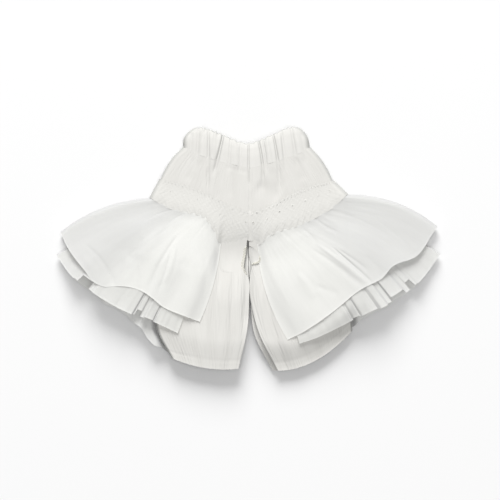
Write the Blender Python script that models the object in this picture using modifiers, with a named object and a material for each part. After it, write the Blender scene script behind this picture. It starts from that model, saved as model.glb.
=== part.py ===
"""A doll's skort laid flat with its front up: short wide culottes of crinkle gauze under an elastic casing,
with a band of lace round each hip and two gathered layers of organza below it, open at the inner leg.

+X is the wearer's left, +Y points to the waist, and the cloth rests on Z = 0. Sizes are millimetres until
a sheet is made. Each piece is drawn as the middle of its cloth, and then thickened evenly.
"""

import math

import bmesh
import bpy
import numpy as np

MM = 0.001


def table(columns, *rows):
    """A short table, as its columns by name."""
    return dict(zip(columns.split(), np.array(rows, float).T))


# Driving sizes
WALL = 1.0
CASING_WALL = 1.6
SEAM = 0.3
RUFFLE_SEAM = 0.6
LIFT = WALL + SEAM
CENTRE_X = 0.4
WAIST_CENTRE_Y = 31.7
SIDE_WAIST = {"right": (-26.2, 39.4), "left": (24.6, 39.4)}
WAIST_BOW = -0.8
SIDE_CLEAR = 0.2
SIGN = {"right": -1.0, "left": 1.0}
# The inner edge at the lace's end, just below it and at the top of the inner leg: x, and how far it drops
CROTCH = {
    "right": ((-0.4, 0.0), (-1.2, -0.8), (-1.0, -2.4)),
    "left": ((0.6, 0.0), (1.4, -0.8), (1.8, -2.4)),
}

# The casing's top edge: t runs from the wearer's right side to the left
CASING_TOP = table(
    "t x y",
    (-1.00, -21.2, 48.2),
    (-0.86, -18.6, 48.3),
    (-0.50, -12.2, 46.3),
    (0.00, -0.2, 42.1),
    (0.42, 9.6, 45.6),
    (0.86, 17.2, 48.6),
    (1.00, 20.0, 48.5),
)
CASING_FRONT_Z = 3.8
CASING_BULGE = 1.0
CASING_GATHERS = 13
CASING_GATHER_HEIGHT = 0.4
CASING_BACK_GATHER_HEIGHT = 0.1
CASING_SIDE_EASE = 0.1
CASING_TOP_CROWN = 0.6

# The lace band: s runs from the centre seam to the side seam
LACE = {
    "right": table(
        "s top_x top_y low_x low_y",
        (0.00, 0.2, 14.0, -0.7, 3.2),
        (0.12, -4.2, 15.8, -5.8, 1.0),
        (0.27, -9.0, 17.8, -11.0, 0.8),
        (0.40, -13.4, 20.0, -14.2, 7.2),
        (0.55, -18.6, 22.4, -18.2, 12.0),
        (0.75, -26.6, 25.4, -27.4, 14.4),
        (0.88, -31.0, 26.4, -33.4, 16.4),
        (1.00, -35.6, 27.6, -39.6, 20.2),
    ),
    "left": table(
        "s top_x top_y low_x low_y",
        (0.00, 0.6, 14.0, 0.6, 3.2),
        (0.12, 5.4, 15.8, 3.4, 0.8),
        (0.27, 10.6, 18.0, 7.8, 4.0),
        (0.40, 15.4, 20.8, 12.6, 6.4),
        (0.55, 20.2, 23.2, 19.0, 8.2),
        (0.75, 27.0, 25.6, 27.8, 12.4),
        (0.88, 30.6, 26.2, 33.8, 16.0),
        (1.00, 34.2, 26.8, 39.8, 21.6),
    ),
}

# Rows of the leg below the lace, from the inner edge to the outer edge, crotch to hem
LEG_ROWS = {
    "right": table(
        "in_x in_y out_x out_y bow back_in_x",
        (0.1, -12.4, -35.0, -0.6, 0.0, 0.1),
        (0.2, -21.0, -34.2, -15.0, 0.0, 0.2),
        (-0.6, -33.0, -33.0, -31.6, -0.4, -0.6),
        (-3.4, -48.2, -30.6, -44.0, -1.6, -3.6),
    ),
    "left": table(
        "in_x in_y out_x out_y bow back_in_x",
        (0.5, -12.4, 38.8, 0.6, 0.0, 0.5),
        (0.9, -21.0, 39.6, -13.4, 0.0, 0.9),
        (4.2, -33.8, 39.6, -26.4, -0.4, 2.2),
        (11.8, -49.0, 38.0, -36.0, -2.0, 9.6),
    ),
}

# Soft folds down the front of each leg: where each starts under the crotch and ends at the hem
LEG_FOLDS = {
    "right": table(
        "x_top x_hem height width",
        (-3.0, -5.6, 0.4, 1.3),
        (-8.5, -11.6, 0.7, 2.6),
        (-13.5, -17.0, -0.3, 1.8),
    ),
    "left": table(
        "x_top x_hem height width",
        (3.2, 14.6, 0.5, 1.6),
        (5.4, 18.4, -0.3, 1.3),
        (8.6, 22.6, 0.4, 2.0),
    ),
}
LEG_FOLD_TOP, LEG_FOLD_LENGTH = -6.0, 42.0

# The organza layers: a runs from the inner edge to the side fold, bow is how far a ray swells outward
TOP_HEM = {
    "right": table(
        "a x y bow",
        (0.00, -19.4, -30.0, -1.2),
        (0.15, -27.4, -26.4, 0.0),
        (0.30, -35.4, -22.6, 0.6),
        (0.45, -43.4, -18.2, 1.2),
        (0.60, -52.0, -14.8, 2.0),
        (0.75, -60.0, -10.4, 2.6),
        (0.88, -68.4, -2.6, 3.0),
        (1.00, -75.0, 6.2, 3.0),
    ),
    "left": table(
        "a x y bow",
        (0.00, 15.8, -37.2, -2.4),
        (0.15, 25.8, -32.4, -1.0),
        (0.30, 34.6, -25.4, 0.0),
        (0.45, 43.0, -19.4, 0.8),
        (0.60, 52.2, -14.8, 1.8),
        (0.75, 60.6, -8.8, 2.6),
        (0.88, 68.2, -1.6, 3.2),
        (1.00, 75.4, 8.2, 3.4),
    ),
}
MID_HEM = {
    "right": table(
        "a x y bow",
        (0.00, -28.2, -34.0, 0.0),
        (0.15, -33.6, -31.4, 0.0),
        (0.30, -39.8, -28.6, 0.4),
        (0.45, -48.0, -25.6, 0.8),
        (0.60, -55.8, -21.6, 1.2),
        (0.75, -63.4, -16.6, 1.6),
        (0.88, -71.0, -10.4, 2.0),
        (1.00, -76.8, -2.4, 2.4),
    ),
    "left": table(
        "a x y bow",
        (0.00, 19.8, -38.4, 0.0),
        (0.15, 27.8, -37.0, 0.0),
        (0.30, 35.4, -33.0, 0.4),
        (0.45, 44.0, -27.4, 0.8),
        (0.60, 53.4, -23.2, 1.2),
        (0.75, 61.8, -18.6, 1.6),
        (0.88, 69.8, -11.4, 2.0),
        (1.00, 76.6, -1.6, 2.4),
    ),
}
TOP_SEAM_START = {"right": 0.27, "left": 0.12}
MID_SEAM_SPAN = {"right": (0.38, 0.95), "left": (0.24, 0.95)}
MID_START = 0.22
BACK_LONGER = 0.05

# Heights of the cloth's middle above the surface
BACK_Z = WALL / 2
LACE_BACK_Z = WALL / 2
GAUZE_FRONT_Z = 3.5
BELLY_RISE, BELLY_HALF_WIDTH, BELLY_FOOT_Y, BELLY_RUN = 1.2, 30.0, -2.0, 12.0
LACE_RAMP = 4.5
LEG_RISE = 9.0
LEG_FRONT_RISE = 1.7
LEG_BACK_RISE = 1.6
MID_BACK_Z = 1.9
MID_BASE_Z = 3.3
OFF_LEG = 7.0
TOP_NOSE_Z = (5.0, 3.2)

# Soft folds of the top layer, and the pleats of the layer under it. An ease or a run is the share of the
# layer, across it or down it, over which a form grows from nothing
TOP_GATHERS = 13
TOP_GATHER_HEIGHT, TOP_GATHER_RUN = 0.35, 0.3
TOP_FOLDS = {
    "right": table(
        "a height width",
        (0.07, -0.4, 0.040),
        (0.20, 0.4, 0.090),
        (0.39, -0.8, 0.035),
        (0.50, 0.7, 0.055),
        (0.63, -0.6, 0.045),
        (0.75, 0.5, 0.050),
    ),
    "left": table(
        "a height width",
        (0.08, -0.3, 0.050),
        (0.30, 0.5, 0.070),
        (0.46, -0.4, 0.050),
        (0.56, 0.6, 0.040),
        (0.64, -0.8, 0.032),
        (0.74, 0.5, 0.050),
    ),
}
TOP_FOLD_ROOM, TOP_FOLD_RUN = 0.9, 0.6
TOP_INNER_EASE, TOP_SIDE_EASE = 0.12, 0.13
OVER_MID_START, OVER_MID_RUN = 0.02, 0.18
MID_PLEATS = 9
MID_PLEAT_HEIGHT = 1.25
MID_PLEAT_AT_SEAM = 0.2
MID_PLEAT_DRIFT, MID_DRIFT_WAVES = 0.16, 2.3
MID_PLEAT_UNEVEN, MID_UNEVEN_WAVES, MID_UNEVEN_PHASE = 0.25, 1.7, 0.2
MID_INNER_EASE, MID_SIDE_EASE, BACK_LONGER_EASE = 0.06, 0.14, 0.5

# How finely each sheet is drawn: rows down it, and points across it
CASING_ROWS = (0.0, 0.3, 0.65, 1.0)
LACE_ROWS = (0.0, 0.5, 1.0)
TOP_ROWS = (0.0, 0.08, 0.18, 0.32, 0.5, 0.7, 0.86, 1.0)
MID_ROWS = 6
CASING_FLATS = 27
PANEL_FLATS = 18
TOP_FLATS = 40
MID_FLATS = 55
LACE_FLATS = 30
BACK_FLATS = 12
NOSE_STEPS = 6
QUARTER_TURN = (35.0, 65.0, 84.0, 90.0)
NEAR_END = 0.9

# How far inside the side line each row of a gauze panel turns, from the waist to the top of the leg
PANEL_INSETS = (0.0, 0.6, 2.4, LIFT + SIDE_CLEAR, LIFT, LIFT, LIFT, LIFT)
INNER_EASE, FORK_EASE = 0.1, 0.2


def smooth(t):
    t = np.clip(t, 0.0, 1.0)
    return t * t * (3.0 - 2.0 * t)


def arch(t):
    """Nothing at both ends and one in the middle."""
    return 4.0 * t * (1.0 - t)


def curve(t, knots, values):
    """A smooth line through a table's rows, read at t."""
    slopes = np.gradient(values, knots)
    k = np.clip(np.searchsorted(knots, t, side="right") - 1, 0, len(knots) - 2)
    span = knots[k + 1] - knots[k]
    u = (t - knots[k]) / span
    ends = (1 + 2 * u) * (1 - u) ** 2 * values[k] + u * u * (3 - 2 * u) * values[k + 1]
    return ends + span * (u * (1 - u) ** 2 * slopes[k] - u * u * (1 - u) * slopes[k + 1])


def unit(vector):
    return vector / np.linalg.norm(vector, axis=-1, keepdims=True)


def waist_line(side, a):
    """Where the casing meets the panels, from the centre to the side."""
    x, y = SIDE_WAIST[side]
    a = np.asarray(a, float)
    up = WAIST_CENTRE_Y + (y - WAIST_CENTRE_Y) * a + WAIST_BOW * arch(a)
    return np.stack([CENTRE_X + (x - CENTRE_X) * a, up], axis=-1)


def lace_line(side, edge, s):
    """The lace band's top or low edge, from the centre to the side."""
    rows = LACE[side]
    return np.stack([curve(s, rows["s"], rows[edge + axis]) for axis in ("_x", "_y")], axis=-1)


def line_height(side, edge, x):
    """How far up (+Y) an edge of the lace lies at x."""
    x_along, y_along = lace_line(side, edge, np.linspace(0, 1, 60)).T
    return np.interp(np.asarray(x) * SIGN[side], x_along * SIGN[side], y_along)


def belly(x, y):
    """The front's soft crown over the hips."""
    across = np.cos(np.clip((x - CENTRE_X) / BELLY_HALF_WIDTH, -1, 1) * math.pi / 2)
    return BELLY_RISE * across * smooth((y - BELLY_FOOT_Y) / BELLY_RUN)


def leg_folds(side, x, y):
    """Soft folds of the front leg, which spread and deepen toward the hem."""
    folds = LEG_FOLDS[side]
    down = np.asarray((LEG_FOLD_TOP - y) / LEG_FOLD_LENGTH)[..., None]
    middle = folds["x_top"] + (folds["x_hem"] - folds["x_top"]) * down
    each = folds["height"] * np.exp(-(((np.asarray(x)[..., None] - middle) / folds["width"]) ** 2))
    return (each * smooth(3 * down)).sum(axis=-1)


def gauze_front(side, x, y):
    below = smooth((line_height(side, "low", x) - y) / LEG_RISE)
    return GAUZE_FRONT_Z + LEG_FRONT_RISE * below + belly(x, y) + leg_folds(side, x, y)


def gauze_back(side, x, y):
    """The back panel lies on the surface, then on the lace's back, then on the layers' backs."""
    over_lace = np.clip((line_height(side, "top", x) + LACE_RAMP - y) / LACE_RAMP, 0, 1)
    below = smooth((line_height(side, "low", x) - y) / LEG_RISE)
    return BACK_Z + LIFT * over_lace + LEG_BACK_RISE * below


def section(line, inset, front, back, flats, nose, back_line=None, back_flats=None, out=None):
    """A row of cloth: over the front to the side, round it by the nose's angles, and back beneath."""
    back_line = back_line or line
    end = line(np.array([1.0]))[0]
    reach = line(np.array([NEAR_END]))[0]
    out = unit(end - reach) if out is None else out
    edge = end - inset * out
    radius = (front(1.0, *edge) - back(1.0, *edge)) / 2
    centre = edge - radius * out
    stop = 1.0 - (1.0 - NEAR_END) * (inset + radius) / np.linalg.norm(end - reach)
    pieces = []
    top, low = front(stop, *centre), back(stop, *centre)
    if flats is not None:
        a = np.asarray(flats) * stop
        xy = line(a)
        pieces.append(np.column_stack([xy, front(a, xy[:, 0], xy[:, 1])]))
        top = pieces[-1][-1, 2]
    for along, height in nose(radius, (top - low) / 2):
        pieces.append(np.array([[*(centre + along * out), (top + low) / 2 + height]]))
    if back_flats is not None:
        a = np.asarray(back_flats)[::-1] * stop
        xy = back_line(a)
        pieces.append(np.column_stack([xy, back(a, xy[:, 0], xy[:, 1])]))
    return np.vstack(pieces)


def front_half(radius, rise):
    """From the flat front down to just above the side seam."""
    turns = [math.radians(turn) for turn in QUARTER_TURN]
    return [(radius * math.sin(t), SEAM / 2 + (rise - SEAM / 2) * math.cos(t)) for t in turns]


def back_half(radius, rise):
    """From just under the side seam to the flat back."""
    return [(along, -height) for along, height in front_half(radius, rise)[::-1]]


def whole_nose(radius, rise):
    turns = np.linspace(0, math.pi, NOSE_STEPS + 2)[1:-1]
    return [(radius * math.sin(t), rise * math.cos(t)) for t in turns]


def paint(name, color, roughness):
    material = bpy.data.materials.new(name)
    material.use_nodes = True
    surface = material.node_tree.nodes["Principled BSDF"]
    surface.inputs["Base Color"].default_value = (*color, 1.0)
    surface.inputs["Roughness"].default_value = roughness
    surface.inputs["Metallic"].default_value = 0.0
    return material


def add_sheet(name, rows, wall, material, closed=False):
    """Lays a grid on the rows of points, and thickens it evenly to both sides."""
    points = np.array(rows) * MM
    count, across = points.shape[:2]
    form = bmesh.new()
    bmesh.ops.create_grid(form, x_segments=across - 1, y_segments=count - 1, size=1.0)
    for vert, point in zip(form.verts, points.reshape(-1, 3)):
        vert.co = point
    if closed:
        bmesh.ops.remove_doubles(form, verts=form.verts, dist=1e-6)
    for face in form.faces:
        face.smooth = True
    mesh = bpy.data.meshes.new(name)
    form.to_mesh(mesh)
    form.free()
    mesh.materials.append(material)
    sheet = bpy.data.objects.new(name, mesh)
    garment.objects.link(sheet)
    thick = sheet.modifiers.new("cloth", "SOLIDIFY")
    thick.thickness = wall * MM
    thick.offset = 0.0
    thick.use_rim = True
    return sheet


def panel_lines(side, face):
    """The rows of a gauze panel from the waist to the hem: each is a line across and its inset."""
    seam = SIGN[side] * SEAM / 2

    def waist(a):
        spot = waist_line(side, a)
        return spot + np.stack([seam * (1 - a), 0 * a - SEAM], axis=-1)

    def beside_lace(edge, rise, inner_x, drop=0.0):
        def line(a):
            spot = lace_line(side, edge, a)
            inner = 1 - smooth(a / INNER_EASE)
            shift = (inner_x - spot[..., 0]) * inner
            return spot + np.stack([shift, rise + drop * (1 - smooth(a / FORK_EASE))], axis=-1)

        return line

    def between(first, second):
        return lambda a: (first(a) + second(a)) / 2

    def leg(k):
        rows = {column: values[k] for column, values in LEG_ROWS[side].items()}
        inner_x = rows["in_x"] if face == "front" else rows["back_in_x"]

        def line(a):
            x = inner_x + (rows["out_x"] - inner_x) * a
            y = rows["in_y"] + (rows["out_y"] - rows["in_y"]) * a + rows["bow"] * arch(a)
            return np.stack([x, y], axis=-1)

        return line

    above, top = (beside_lace("top", rise, CENTRE_X + seam) for rise in (LACE_RAMP, 0.0))
    drops = [-LEG_RISE / 2 * k for k in range(len(CROTCH[side]))]
    low, fork, thigh = (beside_lace("low", rise, *inner) for rise, inner in zip(drops, CROTCH[side]))
    upper = [waist, between(waist, above), above, top, between(top, low), low, fork, thigh]
    legs = [(leg(k), 0.0) for k in range(len(LEG_ROWS[side]["in_x"]))]
    return list(zip(upper, PANEL_INSETS)) + legs


def add_panel(side, face, material):
    flats = np.linspace(0, 1, PANEL_FLATS if face == "front" else BACK_FLATS)
    rows = []
    for line, inset in panel_lines(side, face):
        if face == "front":
            nose, front_flats, back_flats = front_half, flats, None
        else:
            nose, front_flats, back_flats = back_half, None, flats
        rows.append(
            section(
                line,
                inset,
                lambda a, x, y: gauze_front(side, x, y),
                lambda a, x, y: gauze_back(side, x, y),
                front_flats,
                nose,
                back_flats=back_flats,
            )
        )
    add_sheet(f"{face}_{side}", rows, WALL, material)


def add_lace(side, material):
    """A band of lace on the panels, from the centre front round the side to the centre back."""
    rows = []
    for share in LACE_ROWS:

        def line(s):
            top, low = lace_line(side, "top", s), lace_line(side, "low", s)
            return top * (1 - share) + low * share + [0, SEAM / 2 * share]

        rows.append(
            section(
                line,
                0.0,
                lambda a, x, y: gauze_front(side, x, y) + LIFT,
                lambda a, x, y: LACE_BACK_Z + 0 * x,
                np.linspace(0, 1, LACE_FLATS),
                whole_nose,
                back_flats=np.linspace(0, 1, BACK_FLATS),
            )
        )
    add_sheet(f"lace_{side}", rows, WALL, material)


def ray(side, hem, span, a, v):
    """A point of an organza layer: a from the inner edge to the fold, v from the seam to the hem."""
    a = np.asarray(a, float)
    first, last = span
    start = lace_line(side, "low", first + (last - first) * a)
    end = np.stack([curve(a, hem["a"], hem[axis]) for axis in ("x", "y")], axis=-1)
    run = end - start
    start = start + RUFFLE_SEAM * unit(run)
    across = SIGN[side] * np.stack([-run[..., 1], run[..., 0]], axis=-1)
    swell = arch(v) * curve(a, hem["a"], hem["bow"])
    return start + (end - start) * np.asarray(v)[..., None] + unit(across) * swell[..., None]


def layer_base(side, x, y):
    """The lowest that a layer's front can lie: on the leg, and off the leg on its own back."""
    rows = LEG_ROWS[side]
    side_y = [-LACE[side]["low_y"][-1], *-rows["out_y"]]
    side_x = [LACE[side]["low_x"][-1], *rows["out_x"]]
    edge = np.interp(-y, side_y, side_x)
    off = smooth((SIGN[side] * (x - edge) - SEAM) / OFF_LEG)
    on_leg = gauze_front(side, x, y) + LIFT
    return on_leg + (MID_BASE_Z - on_leg) * off


def pleat_height(down):
    return MID_PLEAT_HEIGHT * (MID_PLEAT_AT_SEAM + (1 - MID_PLEAT_AT_SEAM) * np.clip(down, 0, 1))


def top_height(side, a, v, x, y):
    """The top layer lies over the gauze, and over the pleats of the layer under it."""
    folds = TOP_FOLDS[side]
    over_mid = smooth((v - OVER_MID_START) / OVER_MID_RUN) * smooth(a / TOP_INNER_EASE)
    room = (LIFT + SEAM / 2 + 2 * pleat_height((v - MID_START) / (1 - MID_START))) * over_mid
    gathers = TOP_GATHER_HEIGHT * (1 + np.cos(2 * math.pi * TOP_GATHERS * a))
    each = folds["height"] * np.exp(-(((a[..., None] - folds["a"]) / folds["width"]) ** 2))
    waves = (TOP_FOLD_ROOM + each.sum(axis=-1)) * smooth(v / TOP_FOLD_RUN)
    waves = waves + gathers * (1 - smooth(v / TOP_GATHER_RUN))
    nose = TOP_NOSE_Z[0] + (TOP_NOSE_Z[1] - TOP_NOSE_Z[0]) * v
    inside = smooth((1 - a) / TOP_SIDE_EASE)
    return nose + (layer_base(side, x, y) + room + waves - nose) * inside


def mid_height(side, a, down, x, y):
    """The layer under the top one, in pleats that deepen toward its hem."""
    turns = MID_PLEATS * a + MID_PLEAT_DRIFT * np.sin(2 * math.pi * MID_DRIFT_WAVES * a)
    loss = MID_PLEAT_UNEVEN / 2 * (1 + np.sin(2 * math.pi * (MID_UNEVEN_WAVES * a + MID_UNEVEN_PHASE)))
    inside = smooth((1 - a) / MID_SIDE_EASE) * smooth(a / MID_INNER_EASE)
    pleats = pleat_height(down) * inside * (1 + (1 - loss) * np.sin(2 * math.pi * turns))
    return layer_base(side, x, y) + SEAM + pleats


def add_top(side, material):
    hem, span = TOP_HEM[side], (TOP_SEAM_START[side], 1.0)
    rows = []
    for v in TOP_ROWS:
        rows.append(
            section(
                lambda a: ray(side, hem, span, a, v),
                0.0,
                lambda a, x, y: top_height(side, np.asarray(a, float), v, x, y),
                lambda a, x, y: BACK_Z + 0 * x,
                np.linspace(0, 1, TOP_FLATS),
                whole_nose,
                back_flats=np.linspace(0, 1, BACK_FLATS),
            )
        )
    add_sheet(f"ruffle_top_{side}", rows, WALL, material)


def add_mid(side, material):
    hem, span = MID_HEM[side], MID_SEAM_SPAN[side]
    rows = []
    for v in np.linspace(MID_START, 1.0, MID_ROWS):
        down = (v - MID_START) / (1 - MID_START)
        longer = down * BACK_LONGER
        rows.append(
            section(
                lambda a: ray(side, hem, span, a, v),
                0.0,
                lambda a, x, y: mid_height(side, np.asarray(a, float), down, x, y),
                lambda a, x, y: MID_BACK_Z + 0 * x,
                np.linspace(0, 1, MID_FLATS),
                whole_nose,
                back_line=lambda a: ray(side, hem, span, a, v + longer * smooth((1 - a) / BACK_LONGER_EASE)),
                back_flats=np.linspace(0, 1, BACK_FLATS),
            )
        )
    add_sheet(f"ruffle_mid_{side}", rows, WALL, material)


def casing_row(share):
    """One ring of the casing: share 0 is its lower edge, 1 its top edge."""
    halves = {}
    for side in ("left", "right"):

        def line(a):
            a = np.asarray(a, float)
            low = waist_line(side, a) + [0, SEAM]
            t = SIGN[side] * a
            top = np.stack([curve(t, CASING_TOP["t"], CASING_TOP[axis]) for axis in ("x", "y")], axis=-1)
            bulge = arch(share) * CASING_BULGE * a**2
            return low * (1 - share) + top * share + np.stack([SIGN[side] * bulge, 0 * a], axis=-1)

        def gathers(a):
            a = np.asarray(a, float)
            return np.cos(math.pi * CASING_GATHERS * a), smooth((1 - a) / CASING_SIDE_EASE)

        def front(a, x, y):
            crown = belly(x, y) * (1 + (CASING_TOP_CROWN - 1) * share)
            wave, ease = gathers(a)
            return CASING_FRONT_Z + crown + CASING_GATHER_HEIGHT * wave * ease

        def back(a, x, y):
            wave, ease = gathers(a)
            return CASING_WALL / 2 + CASING_BACK_GATHER_HEIGHT * (1 - wave) * ease

        halves[side] = section(
            line,
            0.0,
            front,
            back,
            np.linspace(0, 1, CASING_FLATS),
            whole_nose,
            back_flats=np.linspace(0, 1, CASING_FLATS // 2 + 1),
            out=np.array([SIGN[side], 0.0]),
        )
    return np.vstack([halves["left"], halves["right"][::-1]])


def add_casing(material):
    rows = []
    for share in CASING_ROWS:
        ring = casing_row(share)
        keep = np.ones(len(ring), bool)
        keep[len(ring) // 2] = False
        rows.append(ring[keep])
    add_sheet("waistband", rows, CASING_WALL, material, closed=True)


for stale in list(bpy.data.objects):
    bpy.data.objects.remove(stale, do_unlink=True)
garment = bpy.data.collections.new("skort")
bpy.context.scene.collection.children.link(garment)

gauze = paint("gauze", (0.80, 0.79, 0.76), 0.9)
lace = paint("lace", (0.84, 0.83, 0.80), 0.9)
organza_top = paint("organza_top", (0.80, 0.80, 0.79), 0.7)
organza_mid = paint("organza_mid", (0.78, 0.78, 0.76), 0.7)
casing = paint("casing", (0.84, 0.83, 0.81), 0.9)

add_casing(casing)
for side in ("left", "right"):
    for face in ("front", "back"):
        add_panel(side, face, gauze)
    add_lace(side, lace)
    add_top(side, organza_top)
    add_mid(side, organza_mid)
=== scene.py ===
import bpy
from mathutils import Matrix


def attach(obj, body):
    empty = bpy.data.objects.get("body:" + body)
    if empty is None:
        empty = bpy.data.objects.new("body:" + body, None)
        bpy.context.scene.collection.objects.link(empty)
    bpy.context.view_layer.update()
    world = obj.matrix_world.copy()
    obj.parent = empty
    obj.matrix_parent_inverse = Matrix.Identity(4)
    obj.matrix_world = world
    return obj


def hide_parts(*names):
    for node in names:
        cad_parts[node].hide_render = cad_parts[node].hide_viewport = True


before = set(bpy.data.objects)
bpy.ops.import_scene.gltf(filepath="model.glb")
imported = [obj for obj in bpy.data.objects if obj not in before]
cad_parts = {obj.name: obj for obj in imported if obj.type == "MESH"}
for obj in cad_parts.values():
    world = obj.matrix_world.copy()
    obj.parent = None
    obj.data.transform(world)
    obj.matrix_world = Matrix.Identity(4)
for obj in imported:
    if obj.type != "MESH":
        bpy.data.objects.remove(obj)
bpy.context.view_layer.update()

import math

import bmesh
import bpy
import numpy as np
from mathutils import Vector

# The surface, the light and the camera
# The garment lies on a plain white table under a broad soft light, with a second light beyond the waist
# that throws a soft shadow off the hems. The camera looks straight down from far above with a long lens.
MM = 0.001
TABLE_HALF, TABLE_TONE = 1.6, 0.83
ROOM_LIGHT = 0.34
PICTURE_WIDTH, PICTURE_CENTRE = 200.0, (0.6, -0.8)
CAMERA_HEIGHT, SENSOR_WIDTH = 2500.0, 36.0


def add_object(name, data):
    """A new object in the scene."""
    made = bpy.data.objects.new(name, data)
    bpy.context.scene.collection.objects.link(made)
    return made


def start_material(name, roughness, sheen, gloss=0.2):
    """A new material, its nodes and its surface."""
    material = bpy.data.materials.new(name)
    material.use_nodes = True
    surface = material.node_tree.nodes["Principled BSDF"]
    surface.inputs["Roughness"].default_value = roughness
    surface.inputs["Sheen Weight"].default_value = sheen
    surface.inputs["Specular IOR Level"].default_value = gloss
    return material, material.node_tree, surface


table_mesh = bpy.data.meshes.new("table_top")
corners = [(x * TABLE_HALF, y * TABLE_HALF, 0) for x, y in ((-1, -1), (1, -1), (1, 1), (-1, 1))]
table_mesh.from_pydata(corners, [], [(0, 1, 2, 3)])
add_object("table_top", table_mesh)
white_table, _, table_surface = start_material("white_table", roughness=0.9, sheen=0.0, gloss=0.0)
table_surface.inputs["Base Color"].default_value = (TABLE_TONE, TABLE_TONE, TABLE_TONE, 1)
table_mesh.materials.append(white_table)

room = bpy.data.worlds.new("room")
room.use_nodes = True
room.node_tree.nodes["Background"].inputs["Color"].default_value = (1.0, 1.0, 1.0, 1)
room.node_tree.nodes["Background"].inputs["Strength"].default_value = ROOM_LIGHT
bpy.context.scene.world = room
bpy.context.scene.view_settings.view_transform = "Standard"


def hang_light(name, place, size, power):
    """A round soft light that shines on the garment."""
    lamp = bpy.data.lights.new(name, "AREA")
    lamp.shape = "DISK"
    lamp.size = size
    lamp.energy = power
    light = add_object(name, lamp)
    light.location = place
    light.rotation_euler = (-Vector(place)).to_track_quat("-Z", "Y").to_euler()


hang_light("window", place=(-0.24, 3.70, 1.97), size=2.4, power=228.0)
hang_light("softbox", place=(0.10, -0.20, 3.00), size=1.8, power=27.0)

lens = bpy.data.cameras.new("camera")
lens.sensor_width = SENSOR_WIDTH
lens.lens = SENSOR_WIDTH * CAMERA_HEIGHT / PICTURE_WIDTH
lens.clip_end = 100.0
camera = add_object("camera", lens)
camera.location = (PICTURE_CENTRE[0] * MM, PICTURE_CENTRE[1] * MM, CAMERA_HEIGHT * MM)
bpy.context.scene.camera = camera


# The gauze panels
# Two fronts and two backs, each a yoke and a leg in one, cut from crinkled cotton gauze. They are sewn
# together at the centre, the sides and the inner legs, and end in a narrow stitched hem.
SIDES = ("left", "right")
SIGN = {"right": -1.0, "left": 1.0}
OTHER = {"right": "left", "left": "right"}
CENTRE_X = 0.4
SIDE_WAIST = {"right": (-26.2, 39.4), "left": (24.6, 39.4)}
WAIST_CENTRE_Y, WAIST_BOW, UNDER_CASING = 31.7, -0.8, 0.9


def table(columns, *rows):
    """A short table, as its columns by name."""
    return dict(zip(columns.split(), np.array(rows, float).T))


def side_tables(columns, **sides):
    """A table for each side, with the same columns."""
    return {side: table(columns, *rows) for side, rows in sides.items()}


# The lace band's edges, where the panels pass under it: s runs from the centre seam to the side
LACE = side_tables(
    "s top_x top_y low_x low_y",
    right=(
        (0, 0.4, 14, 0, 3.2),
        (0.12, -4.2, 15.8, -5.8, 1),
        (0.27, -9, 17.8, -11, 0.8),
        (0.4, -13.4, 20, -14.2, 7.2),
        (0.55, -18.6, 22.4, -18.2, 12),
        (0.75, -26.6, 25.4, -27.4, 14.4),
        (0.88, -31, 26.4, -33.4, 16.4),
        (1, -35.6, 27.6, -39.6, 20.2),
    ),
    left=(
        (0, 0.4, 14, 0.6, 3.2),
        (0.12, 5.4, 15.8, 3.4, 0.8),
        (0.27, 10.6, 18, 7.8, 4),
        (0.4, 15.4, 20.8, 12.6, 6.4),
        (0.55, 20.2, 23.2, 19, 8.2),
        (0.75, 27, 25.6, 27.8, 12.4),
        (0.88, 30.6, 26.2, 33.8, 16),
        (1, 34.2, 26.8, 39.8, 21.6),
    ),
)
# The front panels' inner edges beside the slot: x, and how far each line across them dips there
CROTCH = {
    "right": ((-0.6, 0.0), (-1.1, -0.8), (-1.9, -1.0)),
    "left": ((0.3, 0.0), (0.1, -0.8), (1.1, -1.4)),
}
# The back panels nearly meet behind the slot, and swell toward it
BACK_FORK_X = 0.1
BACK_SWELL, SWELL_WIDTH, SWELL_Y, SWELL_LENGTH = 1.1, 4.0, -6.0, 7.0
# Lines across each leg, from the crotch to the hem
LEG_ROWS = side_tables(
    "in_x in_y out_x out_y bow back_in_x",
    right=(
        (0.1, -12.4, -35, -0.6, 0, 0.1),
        (0.2, -21, -36.2, -15, 0, 0.2),
        (-0.6, -33, -36.4, -32.2, -0.4, -0.6),
        (-4, -48.2, -30.6, -44, -1.8, -4.2),
    ),
    left=(
        (0.5, -12.4, 38.8, 0.6, 0, 0.5),
        (0.9, -21, 39.6, -13.4, 0, 0.9),
        (4.2, -33.8, 40.6, -24.6, -0.8, 2.2),
        (11.8, -49, 41.4, -33.2, -4, 9.6),
    ),
)
LACE_RAMP, LEG_RISE, FORK_STEP = 4.5, 24.0, 4.5
PANEL_INSETS = (0.0, 0.6, 2.4, 0.5, 1.3, 1.3, 1.3, 1.3, 0.0, 0.0, 0.0, 0.0)
GAUZE_FRONT_Z, GAUZE_BACK_Z, OVER_LACE_RISE = 4.4, 0.5, 1.3
LEG_FRONT_RISE, LEG_BACK_RISE = {"right": 2.0, "left": 1.2}, {"right": 2.2, "left": 1.8}
HEM_DROP, HEM_DROP_RUN = {"right": 0.9, "left": 2.0}, 12.0
BELLY_RISE, BELLY_HALF_WIDTH, BELLY_FOOT_Y, BELLY_RUN = 1.2, 30.0, -6.0, 17.0

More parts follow.
